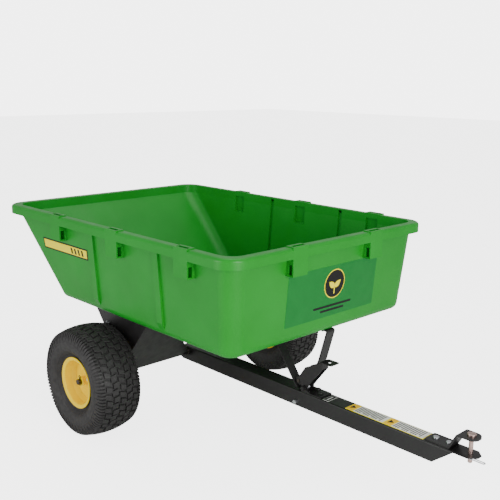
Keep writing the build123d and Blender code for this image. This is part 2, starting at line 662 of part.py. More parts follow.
def make_gusset(side):
    """Angle bracket behind the side plate, bolted to it and up through the floor."""
    face = SUPPORT_HALF_SPAN - SHEET
    leg = SIDE_BOLT_DROP + GUSSET_WIDTH / 2
    reach = 2 * SUPPORT_FLANGE
    with BuildPart() as gusset:
        with BuildSketch(Plane(origin=at(SIDE_BOLT_X, 0, 0), x_dir=(0, side, 0), z_dir=(side, 0, 0))):
            with BuildLine():
                Polyline(
                    (face - SHEET / 2, SUPPORT_TOP - leg),
                    (face - SHEET / 2, SUPPORT_TOP - 1.5 * SHEET),
                    (face - reach, SUPPORT_TOP - 1.5 * SHEET),
                )
            trace(line_width=SHEET)
        extrude(amount=GUSSET_WIDTH / 2, both=True)
        with BuildSketch(across(SIDE_BOLT_X, SUPPORT_TOP - SIDE_BOLT_DROP, side * (face - 2 * SHEET))):
            Circle(HOLE_R)
        extrude(amount=-side * 4 * SHEET, mode=Mode.SUBTRACT)
        with Locations(at(SIDE_BOLT_X, side * (SUPPORT_BOLT_Y - SUPPORT_FLANGE), SUPPORT_TOP)):
            Cylinder(HOLE_R, 8 * SHEET, mode=Mode.SUBTRACT)
    return gusset.part


for side_name, side in SIDES:
    save(make_support(side), f"wheel_support_{side_name}")
    save(make_gusset(side), f"support_gusset_{side_name}")

# ================================================================ tongue
with BuildPart() as tongue:
    with BuildSketch(Plane(origin=at(TONGUE_REAR, 0, 0), x_dir=(0, 1, 0), z_dir=(1, 0, 0))):
        with BuildLine():
            half = TONGUE_HALF - SHEET / 2
            FilletPolyline(
                (-half, TONGUE_BOTTOM),
                (-half, TONGUE_TOP - SHEET / 2),
                (half, TONGUE_TOP - SHEET / 2),
                (half, TONGUE_BOTTOM),
                radius=SHEET,
            )
        trace(line_width=SHEET)
    extrude(amount=NOSE_END - TONGUE_REAR)
    # the flanges slope away under the nose
    with BuildSketch(across(0, 0)):
        with BuildLine():
            Polyline(
                (TONGUE_FLANGE_END, TONGUE_BOTTOM - 1),
                (TONGUE_FLANGE_END, TONGUE_BOTTOM),
                (TONGUE_SLOPE_END, TONGUE_TOP - SHEET),
                (NOSE_END + 1, TONGUE_TOP - SHEET),
                (NOSE_END + 1, TONGUE_BOTTOM - 1),
                close=True,
            )
        make_face()
    extrude(amount=TONGUE_WIDTH, both=True, mode=Mode.SUBTRACT)
    # clipped nose corners
    with BuildSketch(Plane.XY.offset(TONGUE_BOTTOM)):
        for side_name, side in SIDES:
            with BuildLine():
                Polyline(
                    (AXLE_X + NOSE_END - NOSE_CHAMFER, side * (TONGUE_HALF + 1)),
                    (AXLE_X + NOSE_END - NOSE_CHAMFER, side * TONGUE_HALF),
                    (AXLE_X + NOSE_END, side * (TONGUE_HALF - NOSE_CHAMFER)),
                    (AXLE_X + NOSE_END + 1, side * (TONGUE_HALF - NOSE_CHAMFER)),
                    (AXLE_X + NOSE_END + 1, side * (TONGUE_HALF + 1)),
                    close=True,
                )
            make_face()
    extrude(amount=TONGUE_HEIGHT + 1, mode=Mode.SUBTRACT)
    with BuildSketch(across(0, 0, TONGUE_WIDTH)):
        with Locations((0, AXLE_Z)):
            Circle(BORE_R)
        with Locations((CROSS_BOLT_X, TONGUE_BOTTOM + CROSS_BOLT_RISE)):
            Circle(HOLE_R)
    extrude(amount=2 * TONGUE_WIDTH, mode=Mode.SUBTRACT)
    with Locations(*[at(x, 0, TONGUE_TOP) for x in HITCH_BOLTS]):
        Cylinder(HOLE_R, 4 * SHEET, mode=Mode.SUBTRACT)
    with Locations(*[at(x, y, TONGUE_TOP) for x, y in STAND_BOLTS]):
        Cylinder(HOLE_R, 4 * SHEET, mode=Mode.SUBTRACT)
    with Locations(at(HITCH_PIN_X, 0, TONGUE_TOP)):
        Cylinder(HITCH_PIN_DIAMETER / 2 + HITCH_PIN_PLAY, 4 * SHEET, mode=Mode.SUBTRACT)
save(tongue.part, "tongue")

# collars that keep the tongue in the middle of the axle, between the two ears
with BuildPart() as axle_collars:
    for side_name, side in SIDES:
        with BuildSketch(across(0, AXLE_Z, side * (TONGUE_HALF + SIDE_PLAY / 2))):
            Circle(AXLE_R + 2 * SHEET)
            Circle(BORE_R, mode=Mode.SUBTRACT)
        extrude(amount=-side * (EAR_INNER - TONGUE_HALF - SIDE_PLAY))
save(axle_collars.part, "axle_collars")

# ================================================================ hitch
HITCH_TOP = TONGUE_TOP + HITCH_GAP
with BuildPart() as hitch_bracket:
    with BuildSketch(across(0, 0)):
        with BuildLine():
            FilletPolyline(
                (HITCH_BASE_START, TONGUE_TOP + HITCH_PLATE / 2),
                (HITCH_WEB_FOOT_X, TONGUE_TOP + HITCH_PLATE / 2),
                (HITCH_WEB_TOP_X, HITCH_TOP + HITCH_PLATE / 2),
                (HITCH_PIN_X + HITCH_PLATE_WIDTH / 2, HITCH_TOP + HITCH_PLATE / 2),
                radius=HITCH_PLATE,
            )
        trace(line_width=HITCH_PLATE)
    extrude(amount=HITCH_PLATE_WIDTH / 2, both=True)
    fillet(hitch_bracket.edges().filter_by(Axis.Z).group_by(Axis.X)[-1], HITCH_PLATE_WIDTH / 2 - 3)
    fillet(hitch_bracket.edges().filter_by(Axis.Z).group_by(Axis.X)[0], HITCH_PLATE)
    with Locations(*[at(x, 0, TONGUE_TOP) for x in HITCH_BOLTS]):
        Cylinder(HOLE_R, 4 * HITCH_PLATE, mode=Mode.SUBTRACT)
    with Locations(at(HITCH_PIN_X, 0, HITCH_TOP)):
        Cylinder(HITCH_PIN_DIAMETER / 2 + HITCH_PIN_PLAY, 4 * HITCH_PLATE, mode=Mode.SUBTRACT)
save(hitch_bracket.part, "hitch_bracket")

PIN_R = HITCH_PIN_DIAMETER / 2
PIN_HEAD_Z = HITCH_TOP + HITCH_PLATE
PIN_END_Z = TONGUE_TOP - HITCH_PIN_TAIL
CLIP_Z = TONGUE_TOP - SHEET - HITCH_PIN_TAIL / 3
CLIP_HOLE_R = CLIP_WIRE / 2 + BOLT_CLEARANCE
with BuildPart() as hitch_pin:
    with BuildSketch(Plane.XY.offset(PIN_END_Z)):
        with Locations((AXLE_X + HITCH_PIN_X, 0)):
            Circle(PIN_R)
    extrude(amount=PIN_HEAD_Z - PIN_END_Z)
    chamfer(hitch_pin.faces().sort_by(Axis.Z)[0].edges(), PIN_R / 3)
    with BuildSketch(Plane.XY.offset(PIN_HEAD_Z)):
        with Locations((AXLE_X + HITCH_PIN_X, 0)):
            Circle(2 * PIN_R)
    extrude(amount=HITCH_PLATE)
    fillet(hitch_pin.faces().sort_by(Axis.Z)[-1].edges(), HITCH_PLATE / 3)
    with BuildSketch(Plane(origin=at(HITCH_PIN_X, 0, CLIP_Z), x_dir=(0, 1, 0), z_dir=(1, 0, 0))):
        Circle(CLIP_HOLE_R)
    extrude(amount=2 * PIN_R, both=True, mode=Mode.SUBTRACT)
save(hitch_pin.part, "hitch_pin")

# hairpin clip: one leg through the pin's cross hole, the other bowed around the pin
with BuildPart() as hair_pin:
    clip_out = PIN_R + CLIP_WIRE / 2 + BOLT_CLEARANCE
    loop_r = clip_out / 2
    loop_x = CLIP_FRONT - loop_r - CLIP_WIRE / 2
    with BuildLine() as clip_path:
        Polyline(
            at(HITCH_PIN_X - PIN_R - 3 * CLIP_WIRE, 0, CLIP_Z),
            at(loop_x, 0, CLIP_Z),
        )
        ThreePointArc(
            at(loop_x, 0, CLIP_Z),
            at(loop_x + loop_r, -loop_r, CLIP_Z),
            at(loop_x, -2 * loop_r, CLIP_Z),
        )
        Polyline(
            at(loop_x, -2 * loop_r, CLIP_Z),
            at(HITCH_PIN_X - PIN_R, -2 * loop_r, CLIP_Z),
        )
    with BuildSketch(Plane(origin=clip_path.line @ 0, z_dir=clip_path.line % 0)):
        Circle(CLIP_WIRE / 2)
    sweep(path=clip_path.line)
save(hair_pin.part, "hair_pin")

# ================================================================ dump latch
strut_length = hypot(STRUT_FOOT_X - STRUT_TOP_X, TUB_BOTTOM - TONGUE_TOP)
STRUT_DIR = ((STRUT_FOOT_X - STRUT_TOP_X) / strut_length, (TONGUE_TOP - TUB_BOTTOM) / strut_length)
STRUT_NORMAL = (-STRUT_DIR[1], STRUT_DIR[0])
FOOT_Z = TONGUE_TOP + STRUT_REST_GAP + STRUT_SHEET / 2 * STRUT_NORMAL[1]
TUBE_R = CATCH_TUBE_DIAMETER / 2
CATCH_Z = TONGUE_TOP + CATCH_HEIGHT
catch_offset = STRUT_SHEET / 2 + TUBE_R
catch_run = (CATCH_Z - FOOT_Z - STRUT_NORMAL[1] * catch_offset) / STRUT_DIR[1]
CATCH_X = STRUT_FOOT_X + STRUT_DIR[0] * catch_run + STRUT_NORMAL[0] * catch_offset

with BuildPart() as rear_strut:
    # flat bar with a round foot, drawn on its broad face
    with BuildSketch(
        Plane(
            origin=at(STRUT_FOOT_X, STRUT_Y, FOOT_Z),
            x_dir=(0, 1, 0),
            z_dir=(STRUT_NORMAL[0], 0, STRUT_NORMAL[1]),
        )
    ):
        with Locations((0, STRUT_WIDTH / 2)):
            Circle(STRUT_WIDTH / 2)
        with Locations((0, STRUT_WIDTH / 2 + strut_length / 2)):
            Rectangle(STRUT_WIDTH, strut_length)
    extrude(amount=STRUT_SHEET / 2, both=True)
    with BuildSketch(Plane.XY.offset(TUB_BOTTOM)):
        with Locations((AXLE_X + STRUT_TOP_X, STRUT_Y)):
            Rectangle(4 * FLANGE_LENGTH, 2 * STRUT_WIDTH)
    extrude(amount=FLANGE_LENGTH, mode=Mode.SUBTRACT)
    with BuildSketch(Plane.XY.offset(TUB_BOTTOM)):
        with Locations((AXLE_X + STRUT_TOP_X - FLANGE_LENGTH / 2, STRUT_Y)):
            Rectangle(FLANGE_LENGTH, STRUT_WIDTH)
    extrude(amount=-STRUT_SHEET)
    with Locations(at(STRUT_TOP_X - FLANGE_LENGTH / 2, STRUT_Y, TUB_BOTTOM)):
        Cylinder(HOLE_R, 4 * STRUT_SHEET, mode=Mode.SUBTRACT)
save(rear_strut.part, "rear_strut")

# the bar's lower run is tangent to the catch tube
knee_to_catch = (CATCH_X - BAR_KNEE_X, CATCH_Z - BAR_KNEE_Z)
knee_distance = hypot(*knee_to_catch)
tangent_offset = TUBE_R + BAR_SHEET / 2
tangent_length = sqrt(knee_distance**2 - tangent_offset**2)
bar_angle = atan2(knee_to_catch[1], knee_to_catch[0]) + atan2(tangent_offset, tangent_length)
bar_run = tangent_length + TUBE_R / 2
BAR_END = (BAR_KNEE_X + bar_run * cos(bar_angle), BAR_KNEE_Z + bar_run * sin(bar_angle))

with BuildPart() as latch_bar:
    with BuildSketch(across(0, 0, BAR_Y)):
        with BuildLine():
            FilletPolyline(
                (BAR_TOP_X - FLANGE_LENGTH, TUB_BOTTOM - BAR_SHEET / 2),
                (BAR_TOP_X, TUB_BOTTOM - BAR_SHEET / 2),
                (BAR_KNEE_X, BAR_KNEE_Z),
                BAR_END,
                radius=BAR_SHEET,
            )
        trace(line_width=BAR_SHEET)
    extrude(amount=BAR_WIDTH / 2, both=True)
    with Locations(at(BAR_TOP_X - 2 * FLANGE_LENGTH / 3, BAR_Y, TUB_BOTTOM)):
        Cylinder(HOLE_R, 4 * BAR_SHEET, mode=Mode.SUBTRACT)
save(latch_bar.part, "latch_bar")

LEVER_HALF = LEVER_WIDTH / 2
LEVER_INNER = LEVER_HALF - LEVER_SHEET
CATCH_PIN_R = CATCH_PIN_DIAMETER / 2
STAND_HALF = LEVER_HALF + STAND_PLAY
BAR_SIDE = BAR_Y - BAR_WIDTH / 2
with BuildPart() as catch_tubes:
    # one tube welded to the strut, between the lever's cheeks, and one welded to the bar
    for low, high in (
        (LEVER_Y - LEVER_INNER + STAND_PLAY, LEVER_Y + LEVER_INNER - STAND_PLAY),
        (BAR_SIDE, BAR_SIDE + BAR_WIDTH),
    ):
        with BuildSketch(across(CATCH_X, CATCH_Z, high)):
            Circle(TUBE_R)
            Circle(CATCH_PIN_R, mode=Mode.SUBTRACT)
        extrude(amount=high - low)
save(catch_tubes.part, "catch_tubes")

with BuildPart() as catch_pin:
    with BuildSketch(across(CATCH_X, CATCH_Z, BAR_SIDE + BAR_WIDTH)):
        Circle(CATCH_PIN_R)
    extrude(amount=BAR_SIDE + BAR_WIDTH - (LEVER_Y - LEVER_HALF) + STAND_PLAY / 2)
save(catch_pin.part, "catch_pin")

PIVOT_X = CATCH_X + PIVOT_AHEAD_OF_CATCH
PIVOT_Z = CATCH_Z - PIVOT_BELOW_CATCH
NOSE_UNDER = CATCH_Z + CATCH_PIN_R + LATCH_PLAY
NOTCH_X = CATCH_X + CATCH_PIN_R + 2 * LATCH_PLAY
PIVOT_R = BOLT / 2
with BuildPart() as latch_lever:
    # two cheeks with a hook over the catch pin
    for cheek in (-LEVER_HALF, LEVER_INNER):
        with BuildSketch(across(0, 0, LEVER_Y + cheek)):
            with BuildLine():
                Polyline(
                    (PIVOT_X - LEVER_BOSS, PIVOT_Z),
                    (NOTCH_X, CATCH_Z - LATCH_PLAY),
                    (NOTCH_X, NOSE_UNDER),
                    (CATCH_X, NOSE_UNDER),
                    (CATCH_X, NOSE_UNDER + 2 * LEVER_SHEET),
                    (CATCH_X + CATCH_TUBE_DIAMETER, NOSE_UNDER + 1.7 * CATCH_TUBE_DIAMETER),
                    (PEDAL_X, PEDAL_Z),
                    (PEDAL_X, PEDAL_Z - PEDAL_LENGTH / 2),
                    (PIVOT_X + 4 * LEVER_BOSS, PIVOT_Z + 4 * LEVER_BOSS),
                    (PIVOT_X + LEVER_BOSS, PIVOT_Z),
                    close=True,
                )
            make_face()
            with Locations((PIVOT_X, PIVOT_Z)):
                Circle(LEVER_BOSS)
                Circle(PIVOT_R + RUNNING_FIT, mode=Mode.SUBTRACT)
        extrude(amount=-LEVER_SHEET)
    # web between the cheeks, below the pedal
    with BuildSketch(across(0, 0, LEVER_Y)):
        with BuildLine():
            Polyline(
                (PEDAL_X, PEDAL_Z),
                (PEDAL_X, PEDAL_Z - PEDAL_LENGTH / 2),
                (PEDAL_X - LEVER_SHEET, PEDAL_Z - PEDAL_LENGTH / 2),
                (PEDAL_X - LEVER_SHEET, PEDAL_Z),
                close=True,
            )
        make_face()
    extrude(amount=LEVER_HALF, both=True)
save(latch_lever.part, "latch_lever")

with BuildPart() as foot_pedal:
    # tread plate with a round hole, welded on top of the lever
    pedal_middle = PEDAL_X + PEDAL_LENGTH / 2 - 2 * LEVER_SHEET
    with BuildSketch(Plane.XY.offset(PEDAL_Z)):
        with Locations((AXLE_X + pedal_middle, LEVER_Y)):
            RectangleRounded(PEDAL_LENGTH, PEDAL_WIDTH, PEDAL_HOLE)
            Circle(PEDAL_HOLE, mode=Mode.SUBTRACT)
    extrude(amount=PEDAL_SHEET)
save(foot_pedal.part, "foot_pedal")

with BuildPart() as latch_stand:
    # base on the tongue and two cheeks that carry the pivot
    with BuildSketch(Plane.XY.offset(TONGUE_TOP)):
        with Locations((AXLE_X + (STAND_REAR_X + STAND_FRONT_X) / 2, 0)):
            RectangleRounded(STAND_FRONT_X - STAND_REAR_X, TONGUE_WIDTH - SHEET, SHEET)
    extrude(amount=SHEET)
    for cheek in (-STAND_HALF - SHEET, STAND_HALF):
        with BuildSketch(across(0, 0, LEVER_Y + cheek)):
            with BuildLine():
                Polyline(
                    (STAND_REAR_X + SHEET, TONGUE_TOP),
                    (PIVOT_X - LEVER_BOSS, PIVOT_Z),
                    (PIVOT_X + LEVER_BOSS, PIVOT_Z),
                    (STAND_FRONT_X - 4 * LEVER_BOSS, TONGUE_TOP),
                    close=True,
                )
            make_face()
            with Locations((PIVOT_X, PIVOT_Z)):
                Circle(LEVER_BOSS)
                Circle(PIVOT_R + RUNNING_FIT, mode=Mode.SUBTRACT)
        extrude(amount=-SHEET)
    with Locations(*[at(x, y, TONGUE_TOP) for x, y in STAND_BOLTS]):
        Cylinder(HOLE_R, 4 * SHEET, mode=Mode.SUBTRACT)
save(latch_stand.part, "latch_stand")

with BuildPart() as latch_spring:
    # torsion spring around the pivot bolt, between the lever's cheeks
    coil_length = 2 * LEVER_INNER - 4 * SPRING_WIRE
    with BuildLine() as coil:
        Helix(
            pitch=coil_length / SPRING_TURNS,
            height=coil_length,
            radius=SPRING_RADIUS,
            center=at(PIVOT_X, LEVER_Y - coil_length / 2, PIVOT_Z),
            direction=(0, 1, 0),
        )
    with BuildSketch(Plane(origin=coil.line @ 0, z_dir=coil.line % 0)):
        Circle(SPRING_WIRE / 2)
    sweep(path=coil.line, is_frenet=True)
save(latch_spring.part, "latch_spring")

# ================================================================ fasteners
def upright_bolts(points, head_z, length):
    """Round-headed bolts standing on end, with their heads above head_z."""
    with BuildPart() as bolts:
        with Locations(*[at(x, y, head_z + HEAD_HEIGHT / 2) for x, y in points]):
            Cylinder(HEAD_DIAMETER / 2, HEAD_HEIGHT)
        fillet(bolts.faces().filter_by(Axis.Z).group_by(Axis.Z)[-1].edges(), HEAD_HEIGHT / 2)
        with Locations(*[at(x, y, head_z - length / 2) for x, y in points]):
            Cylinder(BOLT / 2, length)
    return bolts.part


def upright_nuts(points, top_z):
    """Hexagon nuts below top_z."""
    with BuildPart() as nuts:
        with BuildSketch(Plane.XY.offset(top_z)):
            with Locations(*[(AXLE_X + x, y) for x, y in points]):
                RegularPolygon(NUT_ACROSS / 2, 6, major_radius=False)
                Circle(BOLT / 2, mode=Mode.SUBTRACT)
        extrude(amount=-NUT_HEIGHT)
    return nuts.part


def cross_bolts(x, z, head_y, length, side):
    """Hexagon bolt across the cart with its head outside head_y, pointing to the middle."""
    with BuildPart() as bolt:
        with BuildSketch(across(x, z, head_y)):
            RegularPolygon(NUT_ACROSS / 2, 6, major_radius=False)
        extrude(amount=-side * NUT_HEIGHT)
        with BuildSketch(across(x, z, head_y)):
            Circle(BOLT / 2)
        extrude(amount=side * length)
    return bolt.part


def cross_nut(x, z, y, side):
    """Hexagon nut across the cart, from y towards the side."""
    with BuildPart() as nut:
        with BuildSketch(across(x, z, y)):
            RegularPolygon(NUT_ACROSS / 2, 6, major_radius=False)
            Circle(BOLT / 2, mode=Mode.SUBTRACT)
        extrude(amount=-side * NUT_HEIGHT)
    return nut.part


# floor bolts of three lengths, by what hangs below the floor
washer_top = FLOOR_Z + BIG_WASHER_SHEET
floor_groups = (
    (SUPPORT_BOLT_POINTS, SHEET),
    (GUSSET_BOLT_POINTS, 2 * SHEET),
    (BRACE_BOLT_POINTS, STRUT_SHEET),
)
with BuildPart() as floor_bolts:
    for points, sheet in floor_groups:
        add(upright_bolts(points, washer_top, washer_top - TUB_BOTTOM + sheet + NUT_HEIGHT + THREAD_TAIL))
save(floor_bolts.part, "floor_bolts")

with BuildPart() as floor_nuts:
    for points, sheet in floor_groups:
        add(upright_nuts(points, TUB_BOTTOM - sheet))
save(floor_nuts.part, "floor_nuts")

with BuildPart() as floor_washers:
    with BuildSketch(Plane.XY.offset(FLOOR_Z)):
        with Locations(*[(AXLE_X + x, y) for x, y in FLOOR_BOLT_POINTS]):
            Circle(BIG_WASHER / 2)
            Circle(HOLE_R, mode=Mode.SUBTRACT)
    extrude(amount=BIG_WASHER_SHEET)
save(floor_washers.part, "floor_washers")

side_bolt_z = SUPPORT_TOP - SIDE_BOLT_DROP
gusset_face = SUPPORT_HALF_SPAN - 2 * SHEET
with BuildPart() as side_bolts:
    for side_name, side in SIDES:
        add(
            cross_bolts(
                SIDE_BOLT_X, side_bolt_z, side * SUPPORT_HALF_SPAN, 2 * SHEET + NUT_HEIGHT + THREAD_TAIL, side
            )
        )
save(side_bolts.part, "support_side_bolts")

with BuildPart() as side_nuts:
    for side_name, side in SIDES:
        add(cross_nut(SIDE_BOLT_X, side_bolt_z, side * gusset_face, -side))
save(side_nuts.part, "support_side_nuts")

hitch_points = [(x, 0) for x in HITCH_BOLTS]
under_tongue = TONGUE_TOP - SHEET
hitch_length = HITCH_PLATE + SHEET + NUT_HEIGHT + THREAD_TAIL
stand_length = 2 * SHEET + NUT_HEIGHT + THREAD_TAIL
save(upright_bolts(hitch_points, TONGUE_TOP + HITCH_PLATE, hitch_length), "hitch_bolts")
save(upright_nuts(hitch_points, under_tongue), "hitch_nuts")
save(upright_bolts(STAND_BOLTS, TONGUE_TOP + SHEET, stand_length), "stand_bolts")
save(upright_nuts(STAND_BOLTS, under_tongue), "stand_nuts")

# bolt through the tongue's flanges, with a tube that keeps them apart
cross_z = TONGUE_BOTTOM + CROSS_BOLT_RISE
cross_length = TONGUE_WIDTH + NUT_HEIGHT + THREAD_TAIL
save(cross_bolts(CROSS_BOLT_X, cross_z, -TONGUE_HALF, cross_length, -1), "tongue_cross_bolt")
save(cross_nut(CROSS_BOLT_X, cross_z, TONGUE_HALF, 1), "tongue_cross_nut")
with BuildPart() as cross_spacer:
    with BuildSketch(across(CROSS_BOLT_X, cross_z)):
        Circle(BOLT)
        Circle(HOLE_R, mode=Mode.SUBTRACT)
    extrude(amount=TONGUE_HALF - SHEET, both=True)
save(cross_spacer.part, "tongue_spacer_tube")

pivot_low = LEVER_Y - STAND_HALF - SHEET
pivot_high = LEVER_Y + STAND_HALF + SHEET
pivot_length = pivot_high - pivot_low + NUT_HEIGHT
save(cross_bolts(PIVOT_X, PIVOT_Z, pivot_low, pivot_length, -1), "latch_pivot_bolt")
save(cross_nut(PIVOT_X, PIVOT_Z, pivot_high, 1), "latch_pivot_nut")
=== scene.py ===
"""Finishes and fine detail for a tow behind dump cart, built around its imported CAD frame."""
import math

import bmesh
import bpy
from bpy.props import FloatProperty, FloatVectorProperty, IntProperty, PointerProperty
from mathutils import Matrix, Vector


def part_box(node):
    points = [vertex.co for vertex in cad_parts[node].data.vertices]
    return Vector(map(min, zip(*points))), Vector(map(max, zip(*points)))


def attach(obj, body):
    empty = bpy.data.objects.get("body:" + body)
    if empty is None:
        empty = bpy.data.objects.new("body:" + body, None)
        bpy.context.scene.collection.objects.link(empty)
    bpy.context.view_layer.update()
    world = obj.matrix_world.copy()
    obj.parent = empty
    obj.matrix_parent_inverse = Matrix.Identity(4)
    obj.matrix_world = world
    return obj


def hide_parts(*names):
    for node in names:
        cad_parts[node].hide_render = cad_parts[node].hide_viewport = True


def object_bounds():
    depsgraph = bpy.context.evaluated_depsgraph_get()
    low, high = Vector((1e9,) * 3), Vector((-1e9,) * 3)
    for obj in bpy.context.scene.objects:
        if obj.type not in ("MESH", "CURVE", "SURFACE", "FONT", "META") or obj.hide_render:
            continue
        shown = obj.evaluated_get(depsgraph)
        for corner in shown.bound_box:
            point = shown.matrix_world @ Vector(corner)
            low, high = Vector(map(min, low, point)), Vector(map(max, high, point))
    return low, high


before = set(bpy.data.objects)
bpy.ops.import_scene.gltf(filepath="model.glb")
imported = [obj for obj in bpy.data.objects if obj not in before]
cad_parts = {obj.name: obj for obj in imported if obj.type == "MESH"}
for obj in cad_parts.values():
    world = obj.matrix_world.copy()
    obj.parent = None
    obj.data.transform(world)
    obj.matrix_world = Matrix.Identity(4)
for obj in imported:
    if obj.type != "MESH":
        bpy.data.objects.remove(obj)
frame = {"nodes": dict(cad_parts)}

bl_info = {
    "name": "Tow behind cart",
    "version": (1, 0, 0),
    "blender": (4, 5, 0),
    "location": "View3D > Sidebar > Cart",
    "description": "Dresses the cart's CAD frame with finishes, tyres, labels, welds and a studio",
    "category": "Object",
}

MM = 0.001
NODES = frame["nodes"]
CAD_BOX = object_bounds()
SIDES = (("right", -1), ("left", 1))


# ---------------------------------------------------------------- places on the frame
def middle(node):
    """Middle of a CAD node's box."""
    low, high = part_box(node)
    return (low + high) / 2


TYRE_LOW, TYRE_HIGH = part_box("tyre_right")
TYRE_RADIUS = (TYRE_HIGH.z - TYRE_LOW.z) / 2
AXLE_X = middle("axle").x
AXLE_Z = middle("axle").z
TONGUE_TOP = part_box("tongue")[1].z


def on_surface(node, start, direction):
    """Point and outward normal where a ray meets a CAD node."""
    found, place, normal, _ = NODES[node].ray_cast(Vector(start), Vector(direction))
    if not found:
        raise RuntimeError(f"nothing of {node} lies that way")
    return place, normal


# ---------------------------------------------------------------- colours and nodes
def linear(code, alpha=1.0):
    """sRGB hex code to linear colour."""
    parts = [int(code[i : i + 2], 16) / 255 for i in (0, 2, 4)]
    return (
        *(c / 12.92 if c <= 0.04045 else ((c + 0.055) / 1.055) ** 2.4 for c in parts),
        alpha,
    )


def add_node(tree, kind, inputs=None, **settings):
    """Add a node with its settings; an input takes a value or another node's socket."""
    node = tree.nodes.new(kind)
    for name, value in settings.items():
        setattr(node, name, value)
    for socket, value in (inputs or {}).items():
        if isinstance(value, bpy.types.NodeSocket):
            tree.links.new(value, node.inputs[socket])
        else:
            node.inputs[socket].default_value = value
    return node


def start_material(name, **shader_values):
    """Empty material with one shader, whose constants are set on its own sockets."""
    made = bpy.data.materials.new(name)
    made.use_nodes = True
    tree = made.node_tree
    tree.nodes.clear()
    shader = add_node(tree, "ShaderNodeBsdfPrincipled")
    for socket, value in shader_values.items():
        shader.inputs[socket.replace("_", " ")].default_value = value
    add_node(tree, "ShaderNodeOutputMaterial", {"Surface": shader.outputs["BSDF"]})
    return made, tree, shader


# the band that holds nearly all of a noise's values
NOISE_LOW, NOISE_HIGH = 0.3, 0.7


def mottle(tree, place, size, low, high, detail=3.0):
    """Soft patches of a real size that run between two colours."""
    patches = add_node(
        tree, "ShaderNodeTexNoise", {"Vector": place, "Scale": 1 / size, "Detail": detail}
    )
    ramp = add_node(tree, "ShaderNodeValToRGB", {"Fac": patches.outputs["Fac"]})
    ramp.color_ramp.elements[0].position = NOISE_LOW
    ramp.color_ramp.elements[0].color = low
    ramp.color_ramp.elements[1].position = NOISE_HIGH
    ramp.color_ramp.elements[1].color = high
    return ramp.outputs["Color"]


def uneven(tree, place, size, low, high):
    """Roughness that drifts between two values over patches of a real size."""
    patches = add_node(tree, "ShaderNodeTexNoise", {"Vector": place, "Scale": 1 / size})
    spread = add_node(
        tree,
        "ShaderNodeMapRange",
        {"Value": patches.outputs["Fac"], "From Min": NOISE_LOW, "From Max": NOISE_HIGH,
         "To Min": low, "To Max": high},
    )
    return spread.outputs["Result"]


def relief(tree, place, layers):
    """Bump of several noises: each layer is its grain size, height and detail."""
    normal = None
    for size, height, detail in layers:
        grain = add_node(
            tree, "ShaderNodeTexNoise", {"Vector": place, "Scale": 1 / size, "Detail": detail}
        )
        inputs = {"Height": grain.outputs["Fac"], "Strength": 1.0, "Distance": height}
        if normal is not None:
            inputs["Normal"] = normal
        normal = add_node(tree, "ShaderNodeBump", inputs).outputs["Normal"]
    return normal


def object_place(tree):
    """Position on the piece, in metres."""
    return add_node(tree, "ShaderNodeTexCoord").outputs["Object"]


# ---------------------------------------------------------------- materials
def moulded_polyethylene(colours):
    """Injection moulded polyethylene, pigmented green."""
    # waxy satin plastic: broad soft highlights that waver where the wall cooled unevenly
    made, tree, shader = start_material(
        "moulded_polyethylene", IOR=1.51, Specular_IOR_Level=0.3
    )
    place = object_place(tree)
    tint = mottle(tree, place, 180 * MM, colours.tub_dark, colours.tub, 2.0)
    tree.links.new(tint, shader.inputs["Base Color"])
    tree.links.new(uneven(tree, place, 60 * MM, 0.31, 0.42), shader.inputs["Roughness"])
    # the mould's grain is 0.5 mm, drawn at 2.5 mm so that it shows at all
    layers = ((120 * MM, 0.9 * MM, 1.0), (2.5 * MM, 0.035 * MM, 2.0))
    tree.links.new(relief(tree, place, layers), shader.inputs["Normal"])
    return made


def enamelled_wheel_steel(colours):
    """Pressed wheel steel in yellow baked enamel."""
    # thick even paint, softly glossy, with the slight ripple of orange peel
    made, tree, shader = start_material(
        "enamelled_wheel_steel",
        IOR=1.5, Specular_IOR_Level=0.25, Coat_Weight=0.06, Coat_Roughness=0.15,
    )
    place = object_place(tree)
    tint = mottle(tree, place, 70 * MM, colours.wheel_dark, colours.wheel)
    tree.links.new(tint, shader.inputs["Base Color"])
    tree.links.new(uneven(tree, place, 30 * MM, 0.3, 0.38), shader.inputs["Roughness"])
    # orange peel is about 1 mm across, drawn at 4 mm
    layers = ((4 * MM, 0.03 * MM, 1.0),)
    tree.links.new(relief(tree, place, layers), shader.inputs["Normal"])
    return made


def vulcanised_rubber(colours):
    """Carbon black rubber, moulded and cured."""
    # dull grey-black, a little paler where the mould's release and dust cling
    made, tree, shader = start_material("vulcanised_rubber", IOR=1.52)
    place = object_place(tree)
    tint = mottle(tree, place, 22 * MM, colours.rubber_dark, colours.rubber, 6.0)
    tree.links.new(tint, shader.inputs["Base Color"])
    tree.links.new(uneven(tree, place, 12 * MM, 0.56, 0.72), shader.inputs["Roughness"])
    # the skin's pores are 0.3 mm, drawn at 1.5 mm
    layers = ((14 * MM, 0.25 * MM, 2.0), (1.5 * MM, 0.05 * MM, 3.0))
    tree.links.new(relief(tree, place, layers), shader.inputs["Normal"])
    return made


def powder_coated_steel(colours):
    """Pressed and welded steel under black powder coat."""
    # satin black with a fine pebble, which breaks the highlights along the folds
    made, tree, shader = start_material("powder_coated_steel", IOR=1.5)
    place = object_place(tree)
    tint = mottle(tree, place, 90 * MM, colours.frame_dark, colours.frame)
    tree.links.new(tint, shader.inputs["Base Color"])
    tree.links.new(uneven(tree, place, 25 * MM, 0.36, 0.48), shader.inputs["Roughness"])
    # powder pebbles at about 0.7 mm, drawn at 2 mm
    layers = ((45 * MM, 0.15 * MM, 1.0), (2 * MM, 0.04 * MM, 2.0))
    tree.links.new(relief(tree, place, layers), shader.inputs["Normal"])
    return made


